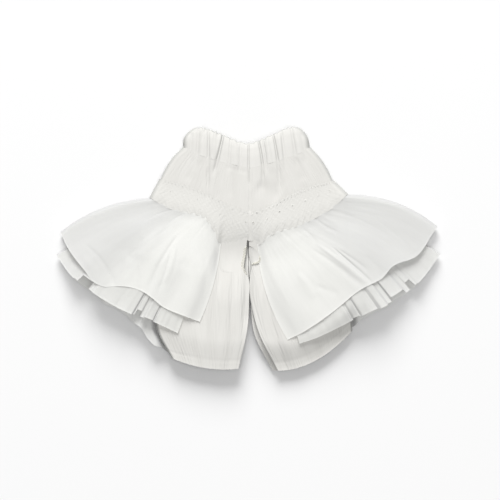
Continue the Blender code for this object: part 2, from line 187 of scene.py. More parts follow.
# Folds of the front cloth, from one end to the other: bow bends the line, width grows along it
CREASE = "x1 y1 x2 y2 bow height width"
CREASE_START, CREASE_GROWTH, CREASE_FADE = 0.55, 0.75, 0.22
PANEL_CREASES = side_tables(
    CREASE,
    right=(
        (-3.4, -4, -6, -56, 0.8, 0.18, 1.2),
        (-6.2, -3, -8.8, -56, 0.5, -0.13, 0.9),
        (-8.4, -6, -12.4, -56, 0, 0.4, 3.2),
        (-12.4, -12, -15.6, -56, 0, -0.13, 1.7),
        (-0.4, 1.2, 0, -34, 0, -0.6, 1.8),
        (-15, -16, -20.5, -54, 0.4, 0.13, 1.8),
        (-1.4, -14, -3.2, -54, 0.3, -0.11, 0.8),
        (-16.2, 33, -16.4, 18, 0, -0.14, 0.7),
        (-6.8, 31, -7.2, 20, 0, -0.08, 1),
        (-12, 31, -12.4, 19, 0, -0.07, 0.8),
        (-21.5, 37, -24.5, 26, 0, -0.11, 1.2),
    ),
    left=(
        (2.6, -6, 13.6, -57, -1, 0.19, 1.3),
        (0.2, 1.2, 0.6, -34, 0, -0.6, 1.8),
        (4.8, -8, 17.4, -56, -1, -0.18, 1),
        (7.6, -14, 22, -54, -0.8, 0.17, 1.7),
        (11.4, -20, 28, -52, 0, -0.13, 1.5),
        (2, -18, 9.6, -54, -0.6, -0.11, 0.7),
        (11.4, 33, 12.2, 23, 0, -0.11, 0.8),
        (5.4, 31, 5.8, 22, 0, -0.08, 0.8),
        (2.6, 25.5, 13, 20, 0, -0.3, 4.2),
        (18.4, 37, 22, 26, 0.4, -0.12, 1.4),
    ),
)
# The gathers that the elastic draws at the waist, which run on into the panels below it and fade out
GATHERS = table(
    CREASE,
    (-22.6, 50.5, -23.8, 33, 0.3, -0.1, 0.8),
    (-19.8, 51, -21.2, 30, 0.2, -0.13, 0.7),
    (-15.9, 50.5, -16.2, 22.5, 0, -0.19, 0.6),
    (-9.2, 49.8, -14.4, 28, 0.3, -0.34, 0.62),
    (-7, 46.6, -8, 29, 0, -0.1, 0.6),
    (-3, 46.4, -3.4, 29.5, 0, -0.09, 0.6),
    (0, 46, 0, 22.5, 0, -0.17, 0.45),
    (3.2, 45.6, 5.8, 25.5, 0.8, -0.25, 0.48),
    (5, 46, 7.2, 29, 0.6, -0.13, 0.4),
    (9.2, 48.4, 12.8, 23.5, 0.5, -0.23, 0.5),
    (13, 48.6, 15, 29.5, 0, -0.13, 0.62),
    (16.6, 50, 19.6, 30.5, 0.2, -0.13, 0.68),
    (20, 50, 23.4, 33, 0.2, -0.09, 0.75),
    (-12.8, 49.8, -15, 30, 0, 0.13, 1.05),
    (-5, 47.4, -5.4, 30, 0, 0.14, 1.2),
    (6.6, 47, 9.4, 29, 0.2, 0.17, 1.15),
    (11.4, 48.6, 14.2, 30, 0, 0.11, 1.1),
    (-18, 50.8, -18.6, 33, 0, 0.11, 1.05),
    (18.2, 50, 21.2, 33, 0, 0.1, 1.05),
)
# The casing's stitching shows as one short dark pull beside the centre front
STITCH_PULL = table(CREASE, (-9.6, 32.6, 0.2, 30.2, 0.0, -0.16, 0.30))
# The hidden backs crease like the front of the other side, turned over
PANEL_BACK_CREASE = 0.8
RIB_WAVES, RIB_HEIGHT, RIB_PITCH, RIB_LENGTH = 18, 0.012, 1.15, 16.0
LEG_RIB_HEIGHT, BACK_RIB_SHARE = 0.020, 0.3
RIB_SEEDS = {("left", "front"): 11, ("right", "front"): 12, ("left", "back"): 13, ("right", "back"): 14}
HEM_DEPTH, HEM_STITCH_DIP, HEM_STITCH_WIDTH = 3.6, 0.07, 0.35
SEAM_DIP, SEAM_DIP_WIDTH, SEAM_DIP_END_Y, SEAM_DIP_FADE = 0.06, 0.35, 1.0, 3.0
PANEL_COLUMNS, PANEL_ROWS, PANEL_TURNS = 150, 130, 7
PANEL_LEAST_Z, PANEL_FLAT, PANEL_AREA = 0.12, (0.042, 0.092), 0.0032
# Painted shade: the grey that the cotton is tinted toward where it tilts away from level.
PAINTED_SHADE_COTTON = (0.45, 0.45, 0.43, 1)


def smooth(t):
    """Nothing below 0, one above 1, with a soft step between."""
    t = np.clip(t, 0.0, 1.0)
    return t * t * (3.0 - 2.0 * t)


def arch(t):
    """Nothing at both ends and one in the middle."""
    return 4.0 * t * (1.0 - t)


def curve(t, knots, values):
    """A smooth line through a table's rows, read at t."""
    slopes = np.gradient(values, knots, axis=0)
    k = np.clip(np.searchsorted(knots, t, side="right") - 1, 0, len(knots) - 2)
    span = knots[k + 1] - knots[k]
    u = (t - knots[k]) / span
    ends = (1 + 2 * u) * (1 - u) ** 2 * values[k] + u * u * (3 - 2 * u) * values[k + 1]
    return ends + span * (u * (1 - u) ** 2 * slopes[k] - u * u * (1 - u) * slopes[k + 1])


def table_line(t, rows, along, *axes):
    """A smooth line through the points that some columns of a table give, read at t of another."""
    return np.stack([curve(t, rows[along], rows[axis]) for axis in axes], axis=-1)


def unit(vector):
    return vector / np.linalg.norm(vector, axis=-1, keepdims=True)


def distance_along(points):
    """How far along a line each of its points lies."""
    return np.concatenate([[0], np.cumsum(np.linalg.norm(np.diff(points, axis=0), axis=1))])


def ribs(u, v, seed, pitch, length):
    """Uneven ribs that run down the cloth: pitch apart, each wandering over its length."""
    draw = np.random.default_rng(seed)
    total = np.zeros(np.broadcast(u, v).shape)
    for _ in range(RIB_WAVES):
        across = 2 * math.pi / (pitch * draw.uniform(0.7, 1.7))
        down = 2 * math.pi / (length * draw.uniform(0.6, 2.0)) * draw.choice([-1, 1])
        total += np.cos(across * u + down * v + draw.uniform(0, 2 * math.pi))
    return total / math.sqrt(RIB_WAVES / 2)


def creases(rows, x, y):
    """Soft troughs and ridges, each along its own line, which widen along it and fade out at both ends."""
    total = np.zeros(np.shape(x))
    for x1, y1, x2, y2, bow, height, width in zip(*rows.values()):
        run = np.array([x2 - x1, y2 - y1])
        length = np.linalg.norm(run)
        along = ((x - x1) * run[0] + (y - y1) * run[1]) / length**2
        held = np.clip(along, 0, 1)
        off = ((y - y1) * run[0] - (x - x1) * run[1]) / length - bow * arch(held)
        wide = width * (CREASE_START + CREASE_GROWTH * held)
        fade = smooth(along / CREASE_FADE) * smooth((1.0 - along) / CREASE_FADE)
        total += height * fade * np.exp(-((off / wide) ** 2))
    return total


def waist_line(side, a):
    """Where the casing meets the panels, from the centre to the side."""
    x, y = SIDE_WAIST[side]
    up = WAIST_CENTRE_Y + (y - WAIST_CENTRE_Y) * a + WAIST_BOW * arch(a)
    return np.stack([CENTRE_X + (x - CENTRE_X) * a, up], axis=-1)


def lace_line(side, edge, s):
    """The lace band's top or low edge, from the centre to the side."""
    return table_line(s, LACE[side], "s", edge + "_x", edge + "_y")


def leg_line(side, k, a, inner="in_x"):
    """The k-th line across a leg, from its inner edge to its outer side."""
    row = {column: values[k] for column, values in LEG_ROWS[side].items()}
    x = row[inner] + (row["out_x"] - row[inner]) * a
    y = row["in_y"] + (row["out_y"] - row["in_y"]) * a + row["bow"] * arch(a)
    return np.stack([x, y], axis=-1)


def line_height(side, edge, x):
    """How far up (+Y) an edge of the lace lies at x."""
    x_along, y_along = lace_line(side, edge, np.linspace(0, 1, 60)).T
    return np.interp(np.asarray(x) * SIGN[side], x_along * SIGN[side], y_along)


def down_leg(side, x, y):
    """Nothing at the lace's lower edge, and one from LEG_RISE mm below it."""
    return smooth((line_height(side, "low", x) - y) / LEG_RISE)


def belly(x, y):
    """The front's soft crown over the hips."""
    across = np.cos(np.clip((x - CENTRE_X) / BELLY_HALF_WIDTH, -1, 1) * math.pi / 2)
    return BELLY_RISE * across * smooth((y - BELLY_FOOT_Y) / BELLY_RUN)


def hem_drop(side, x, y):
    """How far the leg has sunk toward the table at its hem."""
    in_x, out_x = (LEG_ROWS[side][column][-1] for column in ("in_x", "out_x"))
    hem_y = leg_line(side, -1, np.clip((x - in_x) / (out_x - in_x), 0, 1))[..., 1]
    return HEM_DROP[side] * (1 - smooth((y - hem_y) / HEM_DROP_RUN))


def gauze_front(side, x, y):
    """How high the front panel lies."""
    folds = creases(PANEL_CREASES[side], x, y) + creases(GATHERS, x, y) + creases(STITCH_PULL, x, y)
    leg = LEG_FRONT_RISE[side] * down_leg(side, x, y) - hem_drop(side, x, y)
    return GAUZE_FRONT_Z + leg + belly(x, y) + folds


def gauze_back(side, x, y):
    """How high the back panel lies, above the lace band that passes under it."""
    over_lace = np.clip((line_height(side, "top", x) + LACE_RAMP - y) / LACE_RAMP, 0, 1)
    swell = BACK_SWELL * np.exp(-((x / SWELL_WIDTH) ** 2) - ((y - SWELL_Y) / SWELL_LENGTH) ** 2)
    folds = PANEL_BACK_CREASE * (creases(PANEL_CREASES[OTHER[side]], -x, y) + creases(GATHERS, -x, y))
    leg = LEG_BACK_RISE[side] * down_leg(side, x, y) - hem_drop(side, x, y)
    return GAUZE_BACK_Z + OVER_LACE_RISE * over_lace + leg + swell - folds


def section(line, inset, front, back, columns, turns, back_columns, back_line=None, out=None):
    """A row of cloth: over the front to the side, round it through the turns, and back beneath.

    With the points come how far the cloth has turned at each, and which way out the side lies.
    """
    back_line = back_line or line
    end, reach = line(np.array([1.0, 0.9]))
    out = unit(end - reach) if out is None else out
    edge = end - inset * out
    radius = (front(1.0, *edge) - back(1.0, *edge)) / 2
    centre = edge - radius * out
    stop = 1.0 - 0.1 * (inset + radius) / np.linalg.norm(end - reach)
    top, low = front(stop, *centre), back(stop, *centre)
    points, turned = [], []
    if columns:
        a = np.linspace(0, 1, columns) * stop
        xy = line(a)
        points.append(np.column_stack([xy, front(a, xy[:, 0], xy[:, 1])]))
        top = points[-1][-1, 2]
        turned.append(0 * a)
    spread = centre + radius * np.sin(turns)[:, None] * out
    points.append(np.column_stack([spread, (top + low) / 2 + (top - low) / 2 * np.cos(turns)]))
    turned.append(turns)
    if back_columns:
        a = np.linspace(0, 1, back_columns)[::-1] * stop
        xy = back_line(a)
        points.append(np.column_stack([xy, back(a, xy[:, 0], xy[:, 1])]))
        turned.append(math.pi + 0 * a)
    return np.vstack(points), np.concatenate(turned), out


def new_piece(name, points, faces, material):
    """A smooth mesh from points in mm, which rides on the garment."""
    mesh = bpy.data.meshes.new(name)
    mesh.from_pydata((points * MM).tolist(), [], faces)
    mesh.polygons.foreach_set("use_smooth", [True] * len(faces))
    mesh.materials.append(material)
    piece = add_object(name, mesh)
    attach(piece, "root")
    return piece


def lay_cloth(name, rows, cut, material, closed=False):
    """A thin sheet through rows of points, which keeps each point's place in the flat cut."""
    count, across = rows.shape[:2]
    index = np.arange(count * across).reshape(count, across)
    if closed:
        index = np.concatenate([index, index[:, :1]], axis=1)
    quads = np.stack([index[:-1, :-1], index[1:, :-1], index[1:, 1:], index[:-1, 1:]], axis=-1).reshape(-1, 4)
    cloth = new_piece(name, rows.reshape(-1, 3), quads.tolist(), material)
    cloth.data.attributes.new("cut", "FLOAT_VECTOR", "POINT").data.foreach_set("vector", cut.ravel())
    return cloth


def cut_places(rows, fullness=1.0):
    """Where each point lies in the flat cut, in mm: across, down and down from the hem."""
    across = np.linalg.norm(np.diff(rows, axis=1), axis=2).mean(axis=0)
    down = np.linalg.norm(np.diff(rows, axis=0), axis=2)
    u = np.concatenate([[0], np.cumsum(across)]) * fullness
    v = np.vstack([np.zeros(rows.shape[1]), np.cumsum(down, axis=0)])
    return np.stack([np.broadcast_to(u, v.shape), v, v[-1:] - v], axis=-1)


def feed(tree, value, socket):
    """Links a socket to another, or sets it to a number or a colour."""
    if isinstance(value, bpy.types.NodeSocket):
        tree.links.new(value, socket)
    else:
        socket.default_value = value


def make_group(name, output, build, **inputs):
    """A shader group with inputs of these values. What build returns is its one output."""
    group = bpy.data.node_groups.new(name, "ShaderNodeTree")
    for label, value in inputs.items():
        kind = "NodeSocketColor" if isinstance(value, tuple) else "NodeSocketFloat"
        group.interface.new_socket(label, in_out="INPUT", socket_type=kind).default_value = value
    kind = "NodeSocketColor" if output == "Color" else "NodeSocketFloat"
    group.interface.new_socket(output, in_out="OUTPUT", socket_type=kind)
    given, result = group.nodes.new("NodeGroupInput"), group.nodes.new("NodeGroupOutput")
    feed(group, build(group, given.outputs), result.inputs[output])
    return group


def maths(tree, operation, *values):
    """A Math node whose inputs are sockets or numbers, and its result."""
    node = tree.nodes.new("ShaderNodeMath")
    node.operation = operation
    for socket, value in zip(node.inputs, values):
        feed(tree, value, socket)
    return node.outputs[0]


def mix_colours(tree, share, first, second):
    """The first colour, and as much of the second as share says."""
    mix = tree.nodes.new("ShaderNodeMix")
    mix.data_type = "RGBA"
    for label, value in (("Factor", share), ("A", first), ("B", second)):
        feed(tree, value, mix.inputs[label])
    return mix.outputs["Result"]


def cut_axes(tree):
    """The flat cut's across, down and from-the-hem values."""
    place = tree.nodes.new("ShaderNodeAttribute")
    place.attribute_name = "cut"
    split = tree.nodes.new("ShaderNodeSeparateXYZ")
    tree.links.new(place.outputs["Vector"], split.inputs[0])
    return split.outputs


def stretched_noise(tree, across, down, seed, detail=2.0):
    """Noise whose patches are across wide and down long, in mm of the flat cut."""
    axes = cut_axes(tree)
    join = tree.nodes.new("ShaderNodeCombineXYZ")
    feed(tree, maths(tree, "DIVIDE", axes[0], across), join.inputs[0])
    feed(tree, maths(tree, "DIVIDE", axes[1], down), join.inputs[1])
    feed(tree, seed, join.inputs[2])
    noise = tree.nodes.new("ShaderNodeTexNoise")
    noise.inputs["Scale"].default_value = 1.0
    noise.inputs["Detail"].default_value = detail
    tree.links.new(join.outputs[0], noise.inputs["Vector"])
    return noise.outputs[0]


def weave_height(tree, given):
    """Plain weave: threads both ways, thick and thin, as a height."""
    axes = cut_axes(tree)
    turn = maths(tree, "DIVIDE", 2 * math.pi, given["Pitch"])
    across, down = (maths(tree, "SINE", maths(tree, "MULTIPLY", axis, turn)) for axis in axes[:2])
    cloth = maths(tree, "MAXIMUM", across, down)
    thick = stretched_noise(tree, across=0.4, down=7.0, seed=3.0)
    slub = maths(tree, "ADD", thick, stretched_noise(tree, across=7.0, down=0.4, seed=9.0))
    return maths(tree, "MULTIPLY_ADD", cloth, 0.5, maths(tree, "MULTIPLY", slub, given["Slub"]))


def crinkle_height(tree, given):
    """The fine lengthwise crinkle of gauze, as a height."""
    return stretched_noise(tree, given["Width"], given["Length"], given["Seed"], detail=1.5)


def cloudy_colour(tree, given):
    """Slightly uneven whiteness, as cloth has."""
    patches = stretched_noise(tree, given["Patch"], given["Length"], 0.0, detail=3.0)
    return mix_colours(tree, patches, given["White"], given["Shade"])


def painted_tilt_shade_colour(tree, given):
    """Painted shade: the colour greys as the cloth tilts away from level, over folds and edges, where shade
    falls.
    """
    place = tree.nodes.new("ShaderNodeNewGeometry")
    facing = tree.nodes.new("ShaderNodeSeparateXYZ")
    tree.links.new(place.outputs["Normal"], facing.inputs[0])
    level = maths(tree, "POWER", maths(tree, "ABSOLUTE", facing.outputs[2]), 5.5)
    return mix_colours(tree, maths(tree, "SUBTRACT", 1.0, level), given["Color"], given["Turned"])


weave = make_group("plain_weave", "Height", weave_height, Pitch=0.3, Slub=0.5)
crinkle = make_group("crinkle", "Height", crinkle_height, Width=0.7, Length=8.0, Seed=0.0)
white, shade, painted_shade_grey = (0.8, 0.8, 0.8, 1), (0.75, 0.75, 0.74, 1), (0.5, 0.5, 0.5, 1)
cloudy = make_group("cloudy_white", "Color", cloudy_colour, White=white, Shade=shade, Patch=9.0, Length=9.0)
painted_tilt_shade = make_group("painted_tilt_shade", "Color", painted_tilt_shade_colour, Color=white, Turned=painted_shade_grey)


def place_group(tree, group, **values):
    """A group in a material, with its inputs set or linked, and its result."""
    node = tree.nodes.new("ShaderNodeGroup")
    node.node_tree = group
    for label, value in values.items():
        feed(tree, value, node.inputs[label])
    return node.outputs[0]


def tint_with_painted_shade(tree, surface, colour, turned):
    """A cloth's colour, with the painted shade that greys it where it turns down."""
    tree.links.new(place_group(tree, painted_tilt_shade, Color=colour, Turned=turned), surface.inputs["Base Color"])


def bump_from(tree, surface, height, depth):
    """Fine relief from a height, depth in mm."""
    bump = tree.nodes.new("ShaderNodeBump")
    bump.inputs["Distance"].default_value = depth * MM
    bump.inputs["Strength"].default_value = 1.0
    tree.links.new(height, bump.inputs["Height"])
    tree.links.new(bump.outputs["Normal"], surface.inputs["Normal"])


def make_cotton(name, white, shade, crinkle_width, crinkle_length, depth):
    """Matt cotton with a crinkle and a weave."""
    material, tree, surface = start_material(name, roughness=0.92, sheen=0.0)
    colour = place_group(tree, cloudy, White=(*white, 1), Shade=(*shade, 1), Patch=4.5, Length=30.0)
    tint_with_painted_shade(tree, surface, colour, PAINTED_SHADE_COTTON)
    lines = place_group(tree, crinkle, Width=crinkle_width, Length=crinkle_length, Seed=2.0)
    threads = place_group(tree, weave, Pitch=0.32, Slub=0.5)
    bump_from(tree, surface, maths(tree, "MULTIPLY_ADD", threads, 0.06, lines), depth)
    return material


gauze = make_cotton(
    "crinkle_gauze",
    white=(0.735, 0.725, 0.695),
    shade=(0.625, 0.615, 0.585),
    crinkle_width=0.6,
    crinkle_length=7.0,
    depth=0.03,
)


def panel_lines(side, face):
    """The lines across a gauze panel, from the waist to the hem."""

    def waist(a):
        return waist_line(side, a) + [0, UNDER_CASING]

    def beside_lace(edge, rise, inner_x, drop=0.0):
        def line(a):
            spot = lace_line(side, edge, a)
            shift = (inner_x - spot[..., 0]) * (1 - smooth(a / 0.1))
            return spot + np.stack([shift, rise + drop * (1 - smooth(a / 0.2))], axis=-1)

        return line

    def between(first, second):
        return lambda a: (first(a) + second(a)) / 2

    def leg(k):
        return lambda a: leg_line(side, k, a, "in_x" if face == "front" else "back_in_x")

    above, top = (beside_lace("top", rise, CENTRE_X) for rise in (LACE_RAMP, 0.0))
    inner = CROTCH[side]
    if face == "back":
        inner = [(SIGN[side] * BACK_FORK_X, drop) for _, drop in inner]
    low, fork, thigh = (beside_lace("low", -FORK_STEP * k, *spot) for k, spot in enumerate(inner))
    upper = [waist, between(waist, above), above, top, between(top, low), low, fork, thigh]
    return upper + [leg(k) for k in range(len(LEG_ROWS[side]["in_x"]))]


def add_panel(side, face):
    lines = panel_lines(side, face)
    knots = distance_along(np.array([line(np.array([0.5]))[0] for line in lines]))
    quarter = np.linspace(0, math.pi / 2, PANEL_TURNS)
    spans = {
        "front": (PANEL_COLUMNS, quarter[1:], 0),
        "back": (0, quarter[:-1] + math.pi / 2, PANEL_COLUMNS),
    }
    sections = [
        section(
            lambda a: curve(down, knots, np.stack([line(a) for line in lines])),
            curve(down, knots, np.array(PANEL_INSETS)),
            lambda a, x, y: gauze_front(side, x, y),
            lambda a, x, y: gauze_back(side, x, y),
            *spans[face],
        )
        for down in np.linspace(0, knots[-1], PANEL_ROWS)
    ]
    rows, turned, out = (np.array(values) for values in zip(*sections))
    cut = cut_places(rows)
    leg = down_leg(side, rows[..., 0], rows[..., 1])
    relief = ribs(cut[..., 0], cut[..., 1], RIB_SEEDS[side, face], RIB_PITCH, RIB_LENGTH)
    if face == "front":
        relief *= RIB_HEIGHT + (LEG_RIB_HEIGHT - RIB_HEIGHT) * leg
        relief -= HEM_STITCH_DIP * np.exp(-(((cut[..., 2] - HEM_DEPTH) / HEM_STITCH_WIDTH) ** 2))
    else:
        relief *= RIB_HEIGHT * (BACK_RIB_SHARE + (1 - BACK_RIB_SHARE) * leg)
    above_fork = smooth((rows[..., 1] - SEAM_DIP_END_Y) / SEAM_DIP_FADE)
    relief -= SEAM_DIP * above_fork * np.exp(-(((rows[..., 0] - CENTRE_X) / SEAM_DIP_WIDTH) ** 2))
    rows[..., 2] += relief * np.cos(turned)
    rows[..., :2] += (relief * np.sin(turned))[..., None] * out[:, None, :]
    rows[..., 2] = np.maximum(rows[..., 2], PANEL_LEAST_Z)
    node = f"{face}_{side}"
    cloth = lay_cloth(f"gauze_{node}", rows, cut, gauze)
    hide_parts(node)
    return rows


panels = {(side, face): add_panel(side, face) for side in SIDES for face in ("back", "front")}


# The lace bands
# A cotton eyelet trim from the centre front round each side to the centre back. It covers the seam where the
# organza is gathered on, and its upper edge has small picot loops.
LACE_COLUMNS, LACE_ROWS = (400, 160), 60
LACE_REACH, LACE_BACK_Z, LACE_LEAST_Z = 46.0, 0.5, 0.10
LACE_TOP_LIFT, LACE_LOW_LIFT, LACE_BARE_LIFT, LACE_SEWN = 0.18, 0.68, 0.08, 0.13
SCALLOP_PITCH, SCALLOP_HEIGHT = 1.7, 0.30
EYELET_PITCH, EYELET_SHARE, EYELET_RADII = 5.8, 0.36, (0.42, 0.26, 0.38, 0.24, 0.28, 0.22, 0.30, 0.24)
PICOT_RADIUS, PICOT_SHARE = 0.27, 0.075
HEAD_HEIGHT, HEADS = 0.05, 13
# Small knots all over: height, seed, pitch and length
KNOTS = (0.012, 21, 1.6, 1.9)
# Where along the lace each upper organza layer is gathered on
TOP_SEAM_SPAN = {"right": (0.27, 1.0), "left": (0.12, 1.0)}
LOOP_THREAD, PICOT_THREAD, THREAD_SIDES, LOOP_POINTS, LOOP_LIFT = 0.14, 0.10, 5, 18, 0.05
SIDE_TURNS = np.linspace(0, math.pi, 12)[1:-1]


def facing(rows):
    """Which way a sheet faces at each of its points."""
    across, down = np.gradient(rows, axis=1), np.gradient(rows, axis=0)
    return unit(np.cross(down, across) + 1e-12)


def on_cloth(rows, cut, u, v_share):
    """Points of a sheet at places of its cut, u mm across and v_share of the way down, and how it faces."""
    column = np.interp(u, cut[0, :, 0], np.arange(rows.shape[1]))
    row = np.clip(v_share, 0, 1) * (rows.shape[0] - 1)
    c, r = np.minimum(column.astype(int), rows.shape[1] - 2), np.minimum(row.astype(int), rows.shape[0] - 2)
    fc, fr = (column - c)[..., None], (row - r)[..., None]
    found = []
    for values in (rows, facing(rows)):
        upper = values[r, c] * (1 - fc) + values[r, c + 1] * fc
        lower = values[r + 1, c] * (1 - fc) + values[r + 1, c + 1] * fc
        found.append(upper * (1 - fr) + lower * fr)
    return found


def tubes(name, lines, thickness, material, closed=False):
    """Threads along lines of points, as one mesh. Each line is (points, the way its cloth faces)."""
    verts, quads = [], []
    turns = np.linspace(0, 2 * math.pi, THREAD_SIDES, endpoint=False)[:, None]
    for points, faces in lines:
        after = np.roll(points, -1, axis=0) - np.roll(points, 1, axis=0)
        forward = unit((after if closed else np.gradient(points, axis=0)) + 1e-12)
        sideways = unit(np.cross(forward, faces) + 1e-12)
        up = np.cross(sideways, forward)
        ring = np.cos(turns) * sideways[:, None, :] + np.sin(turns) * up[:, None, :]
        start, count = sum(len(v) for v in verts), len(points)
        verts.append((points[:, None, :] + ring * thickness / 2).reshape(-1, 3))
        index = start + np.arange(count * THREAD_SIDES).reshape(count, THREAD_SIDES)
        if closed:
            index = np.vstack([index, index[:1]])
        beside = np.roll(index, -1, axis=1)
        quads += np.stack([index[:-1], beside[:-1], beside[1:], index[1:]], axis=-1).reshape(-1, 4).tolist()
        if not closed:
            quads += [index[0][::-1].tolist(), index[-1].tolist()]
    return new_piece(name, np.vstack(verts), quads, material)


def wrap_strip(shares, columns, back_columns, strip, rib_height, *ribbing):
    """Rows of a ribbed strip that wraps the side fold, and each point's place in the flat cut.

    For each share of the way down, strip gives the row's line, how high its front and its back lie, and the
    line of its back where that is another one.
    """
    rows, turned = [], []
    for share in shares:
        line, front, back, *back_line = strip(share)
        points, turn, _ = section(line, 0.0, front, back, columns, SIDE_TURNS, back_columns, *back_line)
        rows.append(points)
        turned.append(turn)
    rows = np.array(rows)
    cut = cut_places(rows)
    rows[..., 2] += rib_height * ribs(cut[..., 0], cut[..., 1], *ribbing) * np.cos(turned)
    return rows, cut


def cut_holes(cloth, holes):
    """Takes away the quads that have all their corners in a hole."""
    form = bmesh.new()
    form.from_mesh(cloth.data)
    flags = holes.ravel()
    gone = [face for face in form.faces if all(flags[vert.index] for vert in face.verts)]
    bmesh.ops.delete(form, geom=gone, context="FACES")
    form.to_mesh(cloth.data)
    form.free()


def make_lace_cotton():
    """Cotton trim: a close knotted ground with raised thread."""
    material, tree, surface = start_material("lace_cotton", roughness=0.9, sheen=0.0)
    white, shade = (0.68, 0.672, 0.642, 1), (0.66, 0.652, 0.622, 1)
    colour = place_group(tree, cloudy, White=white, Shade=shade, Patch=3.0, Length=3.0)
    tint_with_painted_shade(tree, surface, colour, PAINTED_SHADE_COTTON)
    knots = place_group(tree, weave, Pitch=0.85, Slub=1.3)
    threads = place_group(tree, weave, Pitch=0.3, Slub=0.3)
    bump_from(tree, surface, maths(tree, "MULTIPLY_ADD", threads, 0.3, knots), depth=0.009)
    return material


def make_thread(name, colour):
    """Plain sewing thread."""
    material, tree, surface = start_material(name, roughness=0.75, sheen=0.2)
    surface.inputs["Base Color"].default_value = (*colour, 1)
    fibres = tree.nodes.new("ShaderNodeTexNoise")
    fibres.inputs["Scale"].default_value = 5000.0
    bump_from(tree, surface, fibres.outputs[0], depth=0.01)
    return material


lace_cotton = make_lace_cotton()
white_thread = make_thread("white_thread", (0.86, 0.85, 0.82))


def lace_row(side, share):
    """One row of the lace, share of the way down: its line, and how high its front and its back lie."""

    def line(s):
        top, low = lace_line(side, "top", s), lace_line(side, "low", s)
        scallop = SCALLOP_HEIGHT * np.abs(np.sin(math.pi * s * LACE_REACH / SCALLOP_PITCH))
        bump = scallop * (1 - smooth(share / 0.1))
        return top * (1 - share) + low * share + np.stack([0 * s, bump], axis=-1)

    def front(s, x, y):
        over_organza = smooth((s - TOP_SEAM_SPAN[side][0] + 0.02) / 0.08)
        low = LACE_BARE_LIFT + (LACE_LOW_LIFT - LACE_BARE_LIFT) * over_organza
        lifted = LACE_TOP_LIFT + (low - LACE_TOP_LIFT) * smooth(share)
        sewn = LACE_SEWN * smooth((share - 0.7) / 0.3) * (1 - 0.6 * over_organza)
        wave = np.cos(2 * math.pi * (HEADS * s + 0.35 * np.sin(11.0 * s)))
        heads = HEAD_HEIGHT * wave * smooth((share - 0.55) / 0.4) * over_organza
        return gauze_front(side, x, y) + lifted - sewn + heads

    return line, front, lambda s, x, y: LACE_BACK_Z + 0 * x


def add_lace(side):
    shares = np.linspace(0, 1, LACE_ROWS)
    rows, cut = wrap_strip(shares, *LACE_COLUMNS, lambda share: lace_row(side, share), *KNOTS)
    rows[..., 2] = np.maximum(rows[..., 2], LACE_LEAST_Z)
    node = f"lace_{side}"
    band = lay_cloth(f"band_{node}", rows, cut, lace_cotton)
    width = cut[0, -1, 0]
    eyelets = np.arange(EYELET_PITCH * 0.25, width - 1.0, EYELET_PITCH)
    picots = np.arange(SCALLOP_PITCH / 2, width - 0.5, SCALLOP_PITCH)
    radii = np.resize(EYELET_RADII, len(eyelets))
    places = [(u, EYELET_SHARE, radius, LOOP_THREAD) for u, radius in zip(eyelets, radii)]
    places += [(u, PICOT_SHARE, PICOT_RADIUS, PICOT_THREAD) for u in picots]
    around = np.linspace(0, 2 * math.pi, LOOP_POINTS, endpoint=False)
    rings = {LOOP_THREAD: [], PICOT_THREAD: []}
    holes = np.zeros(rows.shape[:2], bool)
    for u, share, radius, thread in places:
        depth = np.interp(u, cut[0, :, 0], cut[-1, :, 1])
        down = share + radius * np.sin(around) / depth
        spots, faces = on_cloth(rows, cut, u + radius * np.cos(around), down)
        rings[thread].append((spots + LOOP_LIFT * faces, faces))
        holes |= (cut[..., 0] - u) ** 2 + (cut[..., 1] - share * depth) ** 2 < (radius - 0.02) ** 2
    cut_holes(band, holes)
    loops = [
        tubes(f"{name}_{side}", rings[thread], thread, white_thread, closed=True)
        for name, thread in (("eyelet_rims", LOOP_THREAD), ("picot_loops", PICOT_THREAD))
    ]
    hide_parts(node)


for side in SIDES:
    add_lace(side)


# The lower organza layers
# A strip of crisp sheer organza on each leg, gathered under the lace and pressed by the layer above into
# uneven box pleats, raw cut at the hem. It wraps the side and is open at the inner leg.
RUFFLE_SEAM = 0.6
MID_SEAM_SPAN = {"right": (0.38, 0.95), "left": (0.24, 0.95)}
MID_HEM = side_tables(
    "a x y bow",
    right=(
        (0, -28.2, -34, 0),
        (0.15, -33.6, -31.4, 0),
        (0.3, -39.8, -28.6, 0.4),
        (0.45, -48, -25.6, 0.8),
        (0.6, -55.8, -21.6, 1.2),
        (0.75, -63.4, -16.6, 1.4),
        (0.88, -71, -10.4, 1.2),
        (1, -76.6, -2.6, 0.6),
    ),
    left=(
        (0, 20.4, -38.2, 0),
        (0.15, 27.8, -35.6, 0),
        (0.3, 35.8, -31.8, 0.4),
        (0.45, 44.4, -27.4, 0.8),
        (0.6, 53.4, -23.2, 1.2),
        (0.75, 61.8, -18.6, 1.4),
        (0.88, 69.8, -11.4, 1.4),
        (1, 76.4, -2.2, 0.8),
    ),
)
MID_START = 0.03
STRIP_LENGTH = 45.0
MID_BACK_Z, MID_BASE_Z, MID_NOSE_Z, BACK_RISE = 1.5, 4.9, 3.0, 3.5
MID_SUNK, MID_LIFT, BACK_WAVE, BACK_SUNK = 0.35, 0.2, 0.4, 0.4
# How far in from the side fold the layer reaches its full height, as a share of the strip
MID_SIDE = {"right": 0.22, "left": 0.34}
OFF_LEG, BACK_OFF_LEG, LAYER_LIFT, LAYER_DROP = 20.0, 2.6, 0.75, 0.9
